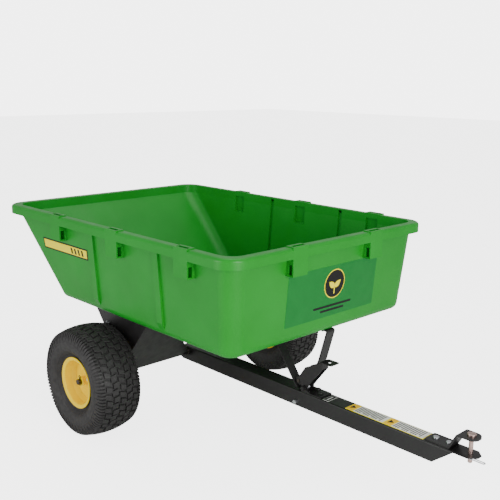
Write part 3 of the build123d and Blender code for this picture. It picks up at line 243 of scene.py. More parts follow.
def zinc_plated_steel(colours):
    """Cold headed fasteners, barrel plated with zinc."""
    # bright bluish metal, clouded by the tumbling in the plating barrel
    made, tree, shader = start_material("zinc_plated_steel", Metallic=1.0)
    place = object_place(tree)
    tint = mottle(tree, place, 5 * MM, colours.zinc_dark, colours.zinc)
    tree.links.new(tint, shader.inputs["Base Color"])
    tree.links.new(uneven(tree, place, 3 * MM, 0.25, 0.42), shader.inputs["Roughness"])
    # shallow dents from the tumbling
    layers = ((2 * MM, 0.03 * MM, 3.0),)
    tree.links.new(relief(tree, place, layers), shader.inputs["Normal"])
    return made


def chromated_pin_steel(colours):
    """Turned pin with a chromate passivated zinc skin."""
    # the chromate turns the zinc warm and faintly pink, with fine turning marks
    made, tree, shader = start_material("chromated_pin_steel", Metallic=1.0)
    place = object_place(tree)
    tint = mottle(tree, place, 9 * MM, colours.chromate_dark, colours.chromate)
    tree.links.new(tint, shader.inputs["Base Color"])
    tree.links.new(uneven(tree, place, 4 * MM, 0.26, 0.4), shader.inputs["Roughness"])
    # the lathe's feed is 0.15 mm, drawn at 1 mm
    marks = add_node(
        tree,
        "ShaderNodeTexWave",
        {"Vector": place, "Scale": 1 / (2 * math.pi * MM), "Distortion": 0.4},
        bands_direction="Z",
    )
    bump = add_node(
        tree,
        "ShaderNodeBump",
        {"Height": marks.outputs["Fac"], "Strength": 1.0, "Distance": 0.02 * MM},
    )
    tree.links.new(bump.outputs["Normal"], shader.inputs["Normal"])
    return made


def oiled_axle_steel(colours):
    """Cold drawn round steel with a film of oil."""
    # dark metal with streaks along the drawing direction
    made, tree, shader = start_material("oiled_axle_steel", Metallic=1.0)
    place = object_place(tree)
    stretched = add_node(
        tree, "ShaderNodeMapping", {"Vector": place, "Scale": (1.0, 0.06, 1.0)}
    ).outputs["Vector"]
    tint = mottle(tree, stretched, 3 * MM, colours.axle_dark, colours.axle)
    tree.links.new(tint, shader.inputs["Base Color"])
    tree.links.new(uneven(tree, stretched, 2 * MM, 0.3, 0.5), shader.inputs["Roughness"])
    return made


def moulded_nylon(colours):
    """Yellow moulded nylon bushes."""
    # slightly greasy satin, a little duller than the wheel's enamel
    made, tree, shader = start_material("moulded_nylon", IOR=1.53)
    place = object_place(tree)
    tint = mottle(tree, place, 10 * MM, colours.wheel_dark, colours.ink_amber)
    tree.links.new(tint, shader.inputs["Base Color"])
    tree.links.new(uneven(tree, place, 6 * MM, 0.4, 0.55), shader.inputs["Roughness"])
    # the mould's matt grain
    layers = ((1.2 * MM, 0.02 * MM, 2.0),)
    tree.links.new(relief(tree, place, layers), shader.inputs["Normal"])
    return made


INK_ROUGHNESS, INK_DRIFT = 0.3, 0.08
INK_THIN, INK_PALE = 1.08, 0.002


def printed_vinyl(name, colour):
    """Screen printed vinyl film, one ink colour."""
    # thin calendered film that follows the surface below, a little glossier than it
    made, tree, shader = start_material(
        f"printed_vinyl_{name}", IOR=1.46, Specular_IOR_Level=0.25
    )
    place = object_place(tree)
    paler = tuple(min(1.0, c * INK_THIN + INK_PALE) for c in colour[:3]) + (1.0,)
    tree.links.new(mottle(tree, place, 35 * MM, colour, paler), shader.inputs["Base Color"])
    gloss = uneven(tree, place, 40 * MM, INK_ROUGHNESS, INK_ROUGHNESS + INK_DRIFT)
    tree.links.new(gloss, shader.inputs["Roughness"])
    # slow waves where the film was smoothed down by hand
    layers = ((60 * MM, 0.3 * MM, 1.0),)
    tree.links.new(relief(tree, place, layers), shader.inputs["Normal"])
    return made


def material(name):
    """A named finish, made the first time it is asked for."""
    found = bpy.data.materials.get(name)
    if found:
        return found
    colours = bpy.context.scene.cart.finishes
    if name.startswith("printed_vinyl_"):
        ink = name.removeprefix("printed_vinyl_")
        return printed_vinyl(ink, tuple(getattr(colours, f"ink_{ink}")))
    return FINISHES[name](colours)


FINISHES = {
    f.__name__: f
    for f in (
        moulded_polyethylene,
        enamelled_wheel_steel,
        vulcanised_rubber,
        powder_coated_steel,
        zinc_plated_steel,
        chromated_pin_steel,
        oiled_axle_steel,
        moulded_nylon,
    )
}


def dress(name, *nodes):
    """Give CAD nodes a finish."""
    for node in nodes:
        for place in NODES[node].material_slots:
            place.material = material(name)


# ---------------------------------------------------------------- making meshes
def finish_mesh(name, bm, finish, sharp=None):
    """Turn a bmesh into an object with a finish."""
    bmesh.ops.recalc_face_normals(bm, faces=bm.faces)
    mesh = bpy.data.meshes.new(name)
    bm.to_mesh(mesh)
    bm.free()
    mesh.materials.append(material(finish))
    if sharp is not None:
        mesh.shade_smooth()
        mesh.set_sharp_from_angle(angle=math.radians(sharp))
    made = bpy.data.objects.new(name, mesh)
    bpy.context.scene.collection.objects.link(made)
    return made


def bridge(bm, first, second, closed=True):
    """Faces between two rows of vertices."""
    count = len(first)
    for i in range(count if closed else count - 1):
        j = (i + 1) % count
        bm.faces.new((first[i], first[j], second[j], second[i]))


def smooth_line(points, steps):
    """Curve through points, with a number of steps between each pair."""
    line = []
    for i in range(len(points) - 1):
        before = Vector(points[max(i - 1, 0)])
        start, end = Vector(points[i]), Vector(points[i + 1])
        after = Vector(points[min(i + 2, len(points) - 1)])
        for k in range(steps):
            t = k / steps
            line.append(
                0.5
                * (
                    2 * start
                    + (end - before) * t
                    + (2 * before - 5 * start + 4 * end - after) * t**2
                    + (3 * start - before - 3 * end + after) * t**3
                )
            )
    line.append(Vector(points[-1]))
    return line


def rounded_rectangle(width, height, radius, steps=6):
    """Outline of a rounded rectangle about the origin."""
    outline = []
    for quarter, (sx, sy) in enumerate(((1, 1), (-1, 1), (-1, -1), (1, -1))):
        for k in range(steps + 1):
            a = math.radians(90 * quarter + 90 * k / steps)
            outline.append(
                (
                    sx * (width / 2 - radius) + radius * math.cos(a),
                    sy * (height / 2 - radius) + radius * math.sin(a),
                )
            )
    return outline


def disc(radius, steps=48):
    """Outline of a circle."""
    turn = 2 * math.pi / steps
    return [(radius * math.cos(k * turn), radius * math.sin(k * turn)) for k in range(steps)]


def leaf(length, width, angle, steps=12):
    """Outline of a leaf that grows from the origin."""
    outline = []
    for k in range(2 * steps):
        t = k / steps if k <= steps else 2 - k / steps
        bulge = width / 2 * math.sin(math.pi * t**0.8)
        outline.append((length * t, bulge if k <= steps else -bulge))
    c, s = math.cos(math.radians(angle)), math.sin(math.radians(angle))
    return [(c * x - s * y, s * x + c * y) for x, y in outline]


class Film:
    """Thin printed film on a flat face of a CAD node."""

    def __init__(self, prefix, body, place, normal, up):
        self.prefix, self.body, self.place, self.normal = prefix, body, place, normal
        self.up = (up - normal * up.dot(normal)).normalized()
        self.across = self.up.cross(normal)

    def lay(self, name, outline, ink, shift=(0, 0), layer=1):
        """One flat colour, cut to an outline; layers lie on each other."""
        thick = bpy.context.scene.cart.labels.film * layer
        bm = bmesh.new()
        rows = []
        for height in (0.0, thick):
            row = []
            for x, y in outline:
                point = self.across * (x + shift[0]) * MM + self.up * (y + shift[1]) * MM
                row.append(bm.verts.new(self.place + point + self.normal * height))
            rows.append(row)
        bridge(bm, *rows)
        bm.faces.new(rows[0])
        bm.faces.new(rows[1])
        made = finish_mesh(f"{self.prefix}_{name}", bm, f"printed_vinyl_{ink}")
        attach(made, self.body)
        return made


# ---------------------------------------------------------------- settings
def colour(title, note, code):
    """Colour setting with its sRGB default."""
    return FloatVectorProperty(
        name=title, description=note, size=4, min=0, max=1, subtype="COLOR", default=linear(code)
    )


class CartFinishes(bpy.types.PropertyGroup):
    tub: colour("Tub", "Polyethylene, pale end of its range", "118E24")
    tub_dark: colour("Tub, dark", "Polyethylene, dark end of its range", "0C851D")
    wheel: colour("Wheel", "Enamel, pale end of its range", "FFDF00")
    wheel_dark: colour("Wheel, dark", "Enamel, dark end of its range", "FFD600")
    rubber: colour("Rubber", "Rubber, pale end of its range", "272525")
    rubber_dark: colour("Rubber, dark", "Rubber, dark end of its range", "1A1819")
    frame: colour("Frame", "Powder coat, pale end of its range", "181617")
    frame_dark: colour("Frame, dark", "Powder coat, dark end of its range", "110F10")
    zinc: colour("Zinc", "Zinc plate, pale end of its range", "DADCE0")
    zinc_dark: colour("Zinc, dark", "Zinc plate, dark end of its range", "B4B6BA")
    chromate: colour("Pin", "Chromated pin, pale end of its range", "DDC4BC")
    chromate_dark: colour("Pin, dark", "Chromated pin, dark end of its range", "B99C93")
    axle: colour("Axle", "Oiled steel, pale end of its range", "6A625C")
    axle_dark: colour("Axle, dark", "Oiled steel, dark end of its range", "3B3532")
    ink_green: colour("Panel ink", "Green of the front panel", "007128")
    ink_yellow: colour("Yellow ink", "Yellow of the labels", "FFE800")
    ink_amber: colour("Amber ink", "Amber heading of the tongue label", "FFC400")
    ink_black: colour("Black ink", "Black of the labels", "0B0A0C")
    ink_white: colour("White ink", "White of the labels", "E6E5E0")
    ink_grey: colour("Grey ink", "Grey lines of the tongue label", "5C5B56")


class CartTyre(bpy.types.PropertyGroup):
    around: IntProperty(name="Blocks around", description="Tread blocks in one row", default=48)
    sections: IntProperty(name="Carcass sections", description="Facets around", default=144)
    groove: FloatProperty(
        name="Groove depth", description="Tread depth", default=6 * MM, unit="LENGTH", precision=4
    )
    lug: FloatProperty(
        name="Lug height", description="Shoulder lugs", default=4.5 * MM, unit="LENGTH"
    )
    edge: FloatProperty(
        name="Edge", description="Worn edge of a block", default=0.9 * MM, unit="LENGTH"
    )


class CartLabels(bpy.types.PropertyGroup):
    film: FloatProperty(
        name="Film", description="Thickness of one film", default=0.35 * MM, unit="LENGTH"
    )
    panel_width: FloatProperty(
        name="Panel width", description="Front panel", default=411 * MM, unit="LENGTH"
    )
    panel_height: FloatProperty(
        name="Panel height", description="Front panel", default=165 * MM, unit="LENGTH"
    )


class CartStage(bpy.types.PropertyGroup):
    floor: colour("Floor", "Pale studio floor", "F4F4F3")
    key: FloatProperty(name="Key light", description="Power", default=95, unit="POWER")
    fill: FloatProperty(name="Fill light", description="Power", default=45, unit="POWER")
    top: FloatProperty(name="Top light", description="Power", default=28, unit="POWER")
    sky: FloatProperty(name="Surround", description="Light of the white surround", default=0.55)
    backdrop: FloatProperty(name="Backdrop", description="White behind the cart", default=5.0)
    glow: FloatProperty(name="Floor glow", description="Lift of the floor's white", default=3.6)


class CartSettings(bpy.types.PropertyGroup):
    finishes: PointerProperty(type=CartFinishes, name="Finishes", description="Colours")
    tyre: PointerProperty(type=CartTyre, name="Tyres", description="Tread and carcass")
    labels: PointerProperty(type=CartLabels, name="Labels", description="Printed films")
    stage: PointerProperty(type=CartStage, name="Studio", description="Floor, lights and camera")


# ---------------------------------------------------------------- tyres
# half of the carcass outside the tread, bead to shoulder: distance from the middle and radius
SIDEWALL = (
    (57.0, 79.5), (58.6, 90.0), (61.0, 95.5), (66.2, 100.4), (71.2, 106.0), (73.0, 107.4),
    (74.8, 110.6), (76.8, 113.6), (79.8, 122.0), (81.3, 130.0), (81.2, 137.4), (82.0, 138.8),
    (81.9, 142.0), (80.8, 143.8), (79.8, 151.0), (77.6, 160.0), (74.6, 166.5), (71.0, 171.0),
)
# surface of the shoulder lugs, tread edge to sidewall
LUG_LINE = (
    (62.0, 178.2), (68.5, 176.6), (74.0, 174.6), (78.0, 168.0), (80.6, 158.0), (81.9, 146.0),
)
# the tread's surface falls by the drop from its middle to its edge
CROWN_HALF, CROWN_DROP = 73.8, 11.2
# widths at which the carcass passes below the tread
UNDERTREAD = (58.0, 38.0, 19.0, 0.0)
# rows of blocks: middle, width, offset in blocks and lean
ROWS = (
    (-50.0, 19.0, 0.0, 1), (-25.2, 20.6, 0.5, -1), (0.0, 19.6, 0.0, 1),
    (25.2, 20.6, 0.5, -1), (50.0, 19.0, 0.0, 1),
)
# share of the pitch that a block fills, its skew, its step sideways and its draft
BLOCK_SHARE, BLOCK_SKEW, BLOCK_STAGGER, BLOCK_DRAFT = 0.72, 5.0, 2.6, 0.4
# share of the pitch that a lug fills, its start in the pitch, and its width at top and foot
LUG_SHARE, LUG_START, LUG_TOP, LUG_FOOT = 0.6, 0.25, 0.8, 1.15
# how deep blocks and lugs are rooted in the carcass
ROOT = 1.0
# degrees between faces that shade as an edge
TREAD_EDGE = 32


def crown(w):
    """Radius of the tread's surface at a distance from the middle, in mm."""
    return TYRE_RADIUS / MM - CROWN_DROP * (w / CROWN_HALF) ** 2


def wheel_point(w, r, a):
    """Point of a wheel, from its middle: width, radius and angle."""
    return Vector((r * math.cos(a), w, r * math.sin(a))) * MM


def carcass_line(groove):
    """Closed outline of the carcass below the tread."""
    half = [*SIDEWALL, *((w, crown(w) - groove) for w in UNDERTREAD)]
    whole = [(-w, r) for w, r in half] + half[-2::-1]
    return smooth_line(whole, 3)


def tread_block(bm, angle, w0, w1, share, skew, depth, edge, pitch):
    """One raised block: straight sides, then a worn edge, then its top."""
    rings = []
    for drop, inset in ((depth + ROOT, -BLOCK_DRAFT), (edge, 0.0), (0.0, edge)):
        ring = []
        for w, along in ((w0, -1), (w1, -1), (w1, 1), (w0, 1)):
            inward = inset if w == w0 else -inset
            r = crown(w) - drop
            shift = skew * (1 if w == w0 else -1)
            reach = along * (pitch * share / 2 - inset) + shift
            ring.append(bm.verts.new(wheel_point(w + inward, r, angle + reach / r)))
        rings.append(ring)
    bridge(bm, rings[0], rings[1])
    bridge(bm, rings[1], rings[2])
    bm.faces.new(rings[2])
    bm.faces.new(rings[0])


def shoulder_lug(bm, angle, side, half, height, line):
    """One rib that runs from the tread's edge down the shoulder."""
    rings = []
    last = len(line) - 1
    for i, (w, r) in enumerate(line):
        before, after = line[max(i - 1, 0)], line[min(i + 1, last)]
        tangent = Vector((after[0] - before[0], after[1] - before[1])).normalized()
        inward = Vector((tangent.y, -tangent.x))
        low = Vector((w, r)) + inward * (height + ROOT)
        ring = []
        for point, spread in (((w, r), LUG_TOP), (tuple(low), LUG_FOOT)):
            for way in (-1, 1):
                reach = way * half * spread / point[1]
                ring.append(bm.verts.new(wheel_point(side * point[0], point[1], angle + reach)))
        rings.append([ring[0], ring[1], ring[3], ring[2]])
    for first, second in zip(rings, rings[1:]):
        bridge(bm, first, second)
    bm.faces.new(rings[0])
    bm.faces.new(rings[-1])


class CART_OT_tyres(bpy.types.Operator):
    """Build the turf tyres: carcass, staggered tread blocks and shoulder lugs"""

    bl_idname = "cart.tyres"
    bl_label = "Turf tyres"
    bl_options = {"REGISTER", "UNDO"}

    def execute(self, context):
        settings = context.scene.cart.tyre
        groove, edge = settings.groove / MM, settings.edge / MM
        bm = bmesh.new()
        line = carcass_line(groove)
        turn = 2 * math.pi / settings.sections
        rings = [
            [bm.verts.new(wheel_point(w, r, i * turn)) for w, r in line]
            for i in range(settings.sections)
        ]
        for i, ring in enumerate(rings):
            bridge(bm, ring, rings[(i + 1) % settings.sections])
        pitch_angle = 2 * math.pi / settings.around
        pitch = pitch_angle * TYRE_RADIUS / MM
        for w, width, offset, lean in ROWS:
            for k in range(settings.around):
                place = w + BLOCK_STAGGER * (1 if k % 2 else -1)
                tread_block(
                    bm, (k + offset) * pitch_angle, place - width / 2, place + width / 2,
                    BLOCK_SHARE, lean * BLOCK_SKEW / 2, groove, edge, pitch,
                )
        lug_half = pitch * LUG_SHARE / 4
        for side in (-1, 1):
            for k in range(2 * settings.around):
                cut = LUG_LINE if k % 2 else LUG_LINE[:-1]
                shoulder_lug(
                    bm, (k + LUG_START) * pitch_angle / 2, side, lug_half, settings.lug / MM, cut
                )
        first = finish_mesh("turf_tyre_right", bm, "vulcanised_rubber", TREAD_EDGE)
        second = bpy.data.objects.new("turf_tyre_left", first.data)
        context.scene.collection.objects.link(second)
        for name, made in (("right", first), ("left", second)):
            made.location = (AXLE_X, middle(f"tyre_{name}").y, AXLE_Z)
            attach(made, f"wheel_{name}")
            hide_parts(f"tyre_{name}")
        return {"FINISHED"}


class CART_OT_wheels(bpy.types.Operator):
    """Finish the rims, their bushes and their valves"""

    bl_idname = "cart.wheels"
    bl_label = "Wheels"
    bl_options = {"REGISTER", "UNDO"}

    def execute(self, context):
        for name, _ in SIDES:
            dress("enamelled_wheel_steel", f"rim_{name}")
            dress("moulded_nylon", f"hub_bushes_{name}")
            dress("zinc_plated_steel", f"valve_stem_{name}")
        return {"FINISHED"}


class CART_OT_tub(bpy.types.Operator):
    """Finish the moulded tub"""

    bl_idname = "cart.tub"
    bl_label = "Tub"
    bl_options = {"REGISTER", "UNDO"}

    def execute(self, context):
        dress("moulded_polyethylene", "tub")
        return {"FINISHED"}


class CART_OT_frame(bpy.types.Operator):
    """Finish the black steel: tongue, supports, hitch plate and dump latch"""

    bl_idname = "cart.frame"
    bl_label = "Steel frame"
    bl_options = {"REGISTER", "UNDO"}

    def execute(self, context):
        dress(
            "powder_coated_steel",
            "tongue", "hitch_bracket", "rear_strut", "latch_bar", "catch_tubes",
            "latch_lever", "foot_pedal", "latch_stand", "tongue_spacer_tube",
            "stand_bolts", "stand_nuts", "latch_pivot_bolt", "latch_pivot_nut",
            "wheel_support_right", "wheel_support_left",
            "support_gusset_right", "support_gusset_left",
        )
        return {"FINISHED"}


class CART_OT_hardware(bpy.types.Operator):
    """Finish the fasteners, the pins and the axle"""

    bl_idname = "cart.hardware"
    bl_label = "Hardware"
    bl_options = {"REGISTER", "UNDO"}

    def execute(self, context):
        dress(
            "zinc_plated_steel",
            "floor_bolts", "floor_nuts", "floor_washers", "support_side_bolts",
            "support_side_nuts", "hitch_bolts", "hitch_nuts", "tongue_cross_bolt",
            "tongue_cross_nut", "latch_spring", "hair_pin",
        )
        dress("chromated_pin_steel", "hitch_pin")
        dress("oiled_axle_steel", "axle", "axle_collars", "catch_pin", "axle_cotter_pins")
        dress("enamelled_wheel_steel", "axle_washers")
        return {"FINISHED"}


# ---------------------------------------------------------------- labels, all in mm
PANEL_Y, PANEL_Z, PANEL_CORNER = 16.0, 548.0, 3.0
BADGE_RADIUS, BADGE_SHIFT, BADGE_RISE, RING_WIDTH = 47.0, 4.0, 22.0, 3.0
# the sprout: shares of the badge's radius, then its own widths and angles
SPROUT_DROP, LEAF_SHARE, STEM_SHARE, STEM_DROP = 0.25, 0.72, 0.5, 0.2
LEAF_WIDTH, STEM_WIDTH, STEM_CORNER = 19.0, 4.0, 1.5
LEAF_ANGLES = (("left", 142), ("right", 38))
STRIPES = (176.0, 110.0)
STRIPE_RISE, STRIPE_HEIGHT = -48.0, 7.0
SIDE_LABEL_X, SIDE_LABEL_Z = -186.0, 601.0
SIDE_LABEL = (290.0, 38.0)
SIDE_FIELD = (278.0, 28.0)
BARS, BAR, BAR_START, BAR_PITCH = 4, (10.0, 20.0), 34.0, 22.0
LABEL_LEAN, BAR_LEAN = 0.15, 0.3
SMALL_LABEL_PLACE = (681.5, -4.0)
SMALL_LABEL, SMALL_FIELD = (22.0, 46.0), (19.0, 43.0)
SMALL_LINE = (3.0, 30.1)
LONG_LABEL_START, LONG_LABEL_END, LONG_LABEL_WIDTH = 759.0, 1040.0, 52.0
HEADING, LABEL_GAP, LABEL_MARGIN, BODY_SHIFT = 28.0, 4.0, 5.0, 1.0
# corner radii of a label, of its fields, of the small label's fields and of a line
LABEL_CORNER, FIELD_CORNER, SMALL_CORNER, LINE_CORNER = 2.0, 1.0, 0.8, 0.6
WARNING_MARK = ((-7, -11), (-7, 11), (9, 0))
LINE_PITCH, LINE_THICK, LINE_START = 7.5, 0.45, 6.0
# shares of the label's width that a line crosses, with a short one every few lines
LINE_REACH, SHORT_REACH, SHORT_EVERY = 0.8, 0.62, 4


def slanted(width, height, rear, rear_lean, front_lean=0.0):
    """Outline of a bar whose ends lean rearward at the top."""
    back, front = rear_lean * height / 2, front_lean * height / 2
    return [
        (rear * (width / 2 + back), height / 2),
        (rear * (width / 2 - back), -height / 2),
        (-rear * (width / 2 + front), -height / 2),
        (-rear * (width / 2 - front), height / 2),
    ]


class CART_OT_tub_labels(bpy.types.Operator):
    """Lay the front panel with its plain sprout badge, and a striped label on each side"""

    bl_idname = "cart.tub_labels"
    bl_label = "Tub labels"
    bl_options = {"REGISTER", "UNDO"}

    def execute(self, context):
        settings = context.scene.cart.labels
        up = Vector((0, 0, 1))
        width, height = settings.panel_width / MM, settings.panel_height / MM
        start = Vector((CAD_BOX[1].x, PANEL_Y * MM, PANEL_Z * MM))
        film = Film("front_panel", "tub", *on_surface("tub", start, (-1, 0, 0)), up)
        film.lay("field", rounded_rectangle(width, height, PANEL_CORNER), "green")
        badge = (BADGE_SHIFT, BADGE_RISE)
        film.lay("badge_ring", disc(BADGE_RADIUS), "yellow", badge, 2)
        film.lay("badge_field", disc(BADGE_RADIUS - RING_WIDTH), "black", badge, 3)
        root = (badge[0], badge[1] - BADGE_RADIUS * SPROUT_DROP)
        for side, angle in LEAF_ANGLES:
            outline = leaf(BADGE_RADIUS * LEAF_SHARE, LEAF_WIDTH, angle)
            film.lay(f"leaf_{side}", outline, "yellow", root, 4)
        stem = rounded_rectangle(STEM_WIDTH, BADGE_RADIUS * STEM_SHARE, STEM_CORNER)
        film.lay("stem", stem, "yellow", (root[0], root[1] - BADGE_RADIUS * STEM_DROP), 4)
        for k, reach in enumerate(STRIPES):
            stripe = rounded_rectangle(reach, STRIPE_HEIGHT, STRIPE_HEIGHT / 3)
            shift = (BADGE_SHIFT, STRIPE_RISE - k * 2 * STRIPE_HEIGHT)
            film.lay(f"stripe_{k + 1}", stripe, "black", shift, 2)
        for name, side in SIDES:
            place = Vector((AXLE_X + SIDE_LABEL_X * MM, side, SIDE_LABEL_Z * MM))
            film = Film(f"side_label_{name}", "tub", *on_surface("tub", place, (0, -side, 0)), up)
            film.lay("border", slanted(*SIDE_LABEL, side, LABEL_LEAN), "black")
            film.lay("field", slanted(*SIDE_FIELD, side, LABEL_LEAN), "yellow", layer=2)
            for k in range(BARS):
                bar = slanted(*BAR, side, BAR_LEAN, BAR_LEAN)
                shift = (-side * (SIDE_LABEL[0] / 2 - BAR_START - k * BAR_PITCH), 0)
                film.lay(f"bar_{k + 1}", bar, "black", shift, 3)
        return {"FINISHED"}


class CART_OT_tongue_labels(bpy.types.Operator):
    """Lay the two wordless labels on top of the tongue"""

    bl_idname = "cart.tongue_labels"
    bl_label = "Tongue labels"
    bl_options = {"REGISTER", "UNDO"}

    def execute(self, context):
        place = Vector((AXLE_X, 0, TONGUE_TOP))
        up = Vector((0, 1, 0))
        film = Film("tongue_label", "tongue", place, Vector((0, 0, 1)), up)
        small = SMALL_LABEL_PLACE
        film.lay("small_edge", rounded_rectangle(*SMALL_LABEL, FIELD_CORNER), "white", small)
        field = rounded_rectangle(*SMALL_FIELD, SMALL_CORNER)
        film.lay("small_field", field, "black", small, 2)
        line = rounded_rectangle(*SMALL_LINE, SMALL_CORNER)
        film.lay("small_line", line, "white", small, 3)
        length = LONG_LABEL_END - LONG_LABEL_START
        centre = (LONG_LABEL_START + LONG_LABEL_END) / 2
        edge = rounded_rectangle(length, LONG_LABEL_WIDTH, LABEL_CORNER)
        film.lay("long_edge", edge, "yellow", (centre, 0))
        height = LONG_LABEL_WIDTH - LABEL_MARGIN
        body = length / 2 - HEADING - LABEL_GAP
        for part in (1, 2):
            start = LONG_LABEL_START + (part - 1) * length / 2
            middle_x = start + HEADING / 2
            head = rounded_rectangle(HEADING - LABEL_GAP, height, FIELD_CORNER)
            film.lay(f"heading_{part}", head, "amber", (middle_x, 0), 2)
            film.lay(f"mark_{part}", WARNING_MARK, "black", (middle_x, 0), 3)
            body_x = start + HEADING + body / 2 + BODY_SHIFT
            field = rounded_rectangle(body, height, FIELD_CORNER)
            film.lay(f"body_{part}", field, "white", (body_x, 0), 2)
            for k in range(int((body - LINE_START) / LINE_PITCH)):
                short = k % SHORT_EVERY == SHORT_EVERY - 1
                reach = LONG_LABEL_WIDTH * (SHORT_REACH if short else LINE_REACH)
                line = rounded_rectangle(LINE_PITCH * LINE_THICK, reach, LINE_CORNER)
                x = body_x - body / 2 + LINE_START + k * LINE_PITCH
                y = (LONG_LABEL_WIDTH * LINE_REACH - reach) / 2
                film.lay(f"line_{part}_{k + 1}", line, "grey", (x, y), 3)
        return {"FINISHED"}


# ---------------------------------------------------------------- welds
# facets around a bead, steps along each ripple, and the fewest steps of a short bead
WELD_SIDES, WELD_STEPS, WELD_FEWEST = 8, 4, 8
WELD_RADIUS, WELD_RIPPLE = 1.6, 2.4
# share of the radius that the ripples add, and how thin and how fast the ends taper
RIPPLE_SHARE, TAPER_END, TAPER_RATE = 0.16, 0.12, 8
WELD_EDGE = 60
# how far the bead stops short of the pedal's and the lever's edges
PEDAL_INSET, LEVER_INSET = 2.0, 1.0


def weld_bead(name, start, end, body):
    """Rippled bead of weld metal along a line, painted over with the frame."""
    bm = bmesh.new()
    length = (end - start).length
    way = (end - start).normalized()
    side = way.orthogonal().normalized()
    other = way.cross(side)
    ripples = length / (WELD_RIPPLE * MM)
    count = max(WELD_FEWEST, int(ripples * WELD_STEPS))
    rings = []
    for i in range(count + 1):
        t = i / count
        taper = math.sin(math.pi * min(1.0, TAPER_END + min(t, 1 - t) * TAPER_RATE) / 2)
        ripple = 1 + RIPPLE_SHARE * abs(math.sin(math.pi * t * ripples))
        r = WELD_RADIUS * MM * taper * ripple
        ring = []
        for k in range(WELD_SIDES):
            a = 2 * math.pi * k / WELD_SIDES
            offset = side * math.cos(a) * r + other * math.sin(a) * r
            ring.append(bm.verts.new(start + way * length * t + offset))
        rings.append(ring)
    for first, second in zip(rings, rings[1:]):
        bridge(bm, first, second)
    bm.faces.new(rings[0])
    bm.faces.new(rings[-1])
    made = finish_mesh(name, bm, "powder_coated_steel", WELD_EDGE)
    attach(made, body)
    return made


class CART_OT_welds(bpy.types.Operator):
    """Run the two short weld beads that hold the pedal on its lever"""

    bl_idname = "cart.welds"
    bl_label = "Welds"
    bl_options = {"REGISTER", "UNDO"}

    def execute(self, context):
        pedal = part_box("foot_pedal")[0]
        lever_low, lever_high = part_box("latch_lever")
        for name, y in (("right", lever_low.y), ("left", lever_high.y)):
            start = Vector((pedal.x + PEDAL_INSET * MM, y, pedal.z))
            end = Vector((lever_high.x - LEVER_INSET * MM, y, pedal.z))
            weld_bead(f"pedal_weld_{name}", start, end, "latch")
        return {"FINISHED"}


# ---------------------------------------------------------------- studio
CAMERA_PLACE = (1.8117, -1.7534, 1.1836)
CAMERA_FORWARD = (-0.7065, 0.6735, -0.2174)
CAMERA_ROLL = 0.59
CAMERA_LENS = 55.64
FLOOR_SIZE = 40.0
# size of the floor's faint patches, in metres
FLOOR_PATCH = 2.0
AIM = (0.0, 0.0, 0.4)
# each lamp's place and size, in metres
LAMPS = {
    "key": ((3.3, -1.0, 1.25), 1.5),
    "fill": ((-0.9, -3.4, 1.0), 1.6),
    "top": ((-0.2, 0.3, 3.2), 2.2),
}


def soft_light(name, place, size, power):
    """Square area light that faces the cart."""
    lamp = bpy.data.lights.new(name, "AREA")
    lamp.shape, lamp.size, lamp.energy = "SQUARE", size, power
    made = bpy.data.objects.new(name, lamp)
    made.location = place
    made.rotation_euler = (Vector(AIM) - Vector(place)).to_track_quat("-Z", "Y").to_euler()
    bpy.context.scene.collection.objects.link(made)


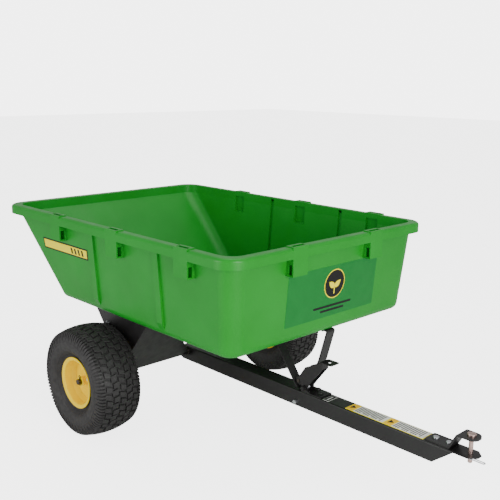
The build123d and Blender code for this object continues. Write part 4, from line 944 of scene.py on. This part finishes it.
class CART_OT_stage(bpy.types.Operator):
    """Set up the floor, the soft lights and the camera"""

    bl_idname = "cart.stage"
    bl_label = "Studio"
    bl_options = {"REGISTER", "UNDO"}

    def execute(self, context):
        settings = context.scene.cart.stage
        world = bpy.data.worlds.new("white_surround")
        context.scene.world = world
        world.use_nodes = True
        air = world.node_tree
        air.nodes.clear()
        seen = add_node(air, "ShaderNodeLightPath").outputs["Is Camera Ray"]
        levels = {"Value": seen, "To Min": settings.sky, "To Max": settings.backdrop}
        strength = add_node(air, "ShaderNodeMapRange", levels).outputs["Result"]
        white = {"Color": linear("FFFFFF"), "Strength": strength}
        sky = add_node(air, "ShaderNodeBackground", white).outputs["Background"]
        add_node(air, "ShaderNodeOutputWorld", {"Surface": sky})
        bm = bmesh.new()
        bmesh.ops.create_grid(bm, x_segments=1, y_segments=1, size=FLOOR_SIZE / 2)
        mesh = bpy.data.meshes.new("studio_floor")
        bm.to_mesh(mesh)
        bm.free()
        # matt white paint, which only the camera sees glow, so that it lights nothing
        paint, tree, shader = start_material(
            "studio_paint",
            Roughness=0.9, Specular_IOR_Level=0.1, Emission_Color=linear("FFFFFF"),
        )
        pale = linear("F6F6F5")
        tint = mottle(tree, object_place(tree), FLOOR_PATCH, tuple(settings.floor), pale)
        tree.links.new(tint, shader.inputs["Base Color"])
        seen = add_node(tree, "ShaderNodeLightPath").outputs["Is Camera Ray"]
        glow = add_node(tree, "ShaderNodeMapRange", {"Value": seen, "To Max": settings.glow})
        tree.links.new(glow.outputs["Result"], shader.inputs["Emission Strength"])
        mesh.materials.append(paint)
        floor = bpy.data.objects.new("studio_floor", mesh)
        floor.location.z = CAD_BOX[0].z
        context.scene.collection.objects.link(floor)
        for name, (place, size) in LAMPS.items():
            soft_light(f"{name}_light", place, size, getattr(settings, name))
        forward = Vector(CAMERA_FORWARD).normalized()
        level = forward.cross(Vector((0, 0, 1))).normalized()
        upright = level.cross(forward)
        c, s = math.cos(math.radians(CAMERA_ROLL)), math.sin(math.radians(CAMERA_ROLL))
        right = level * c + upright * s
        up = upright * c - level * s
        turn = Matrix((right, up, -forward)).transposed().to_4x4()
        lens = bpy.data.cameras.new("studio_camera")
        lens.lens = CAMERA_LENS
        camera = bpy.data.objects.new("studio_camera", lens)
        camera.matrix_world = Matrix.Translation(CAMERA_PLACE) @ turn
        context.scene.collection.objects.link(camera)
        context.scene.camera = camera
        return {"FINISHED"}


class CART_PT_panel(bpy.types.Panel):
    """Lists the steps and the settings in the 3D view's sidebar"""

    bl_idname = "CART_PT_panel"
    bl_label = "Tow behind cart"
    bl_space_type = "VIEW_3D"
    bl_region_type = "UI"
    bl_category = "Cart"

    def draw(self, context):
        settings = context.scene.cart
        for operator in OPERATORS:
            self.layout.operator(operator.bl_idname)
        for group in ("finishes", "tyre", "labels", "stage"):
            box = self.layout.box()
            values = getattr(settings, group)
            for name in values.__annotations__:
                box.prop(values, name)


OPERATORS = (
    CART_OT_tub,
    CART_OT_frame,
    CART_OT_wheels,
    CART_OT_tyres,
    CART_OT_hardware,
    CART_OT_welds,
    CART_OT_tub_labels,
    CART_OT_tongue_labels,
    CART_OT_stage,
)
CLASSES = (CartFinishes, CartTyre, CartLabels, CartStage, CartSettings, *OPERATORS, CART_PT_panel)


def register():
    """Register the classes and hang the settings on the scene."""
    for cls in CLASSES:
        bpy.utils.register_class(cls)
    bpy.types.Scene.cart = PointerProperty(type=CartSettings)


def unregister():
    """Take the settings and the classes away again."""
    del bpy.types.Scene.cart
    for cls in reversed(CLASSES):
        bpy.utils.unregister_class(cls)


def main():
    """Run every step in order."""
    register()
    for operator in OPERATORS:
        group, step = operator.bl_idname.split(".")
        getattr(getattr(bpy.ops, group), step)()


if __name__ == "__main__":
    main()
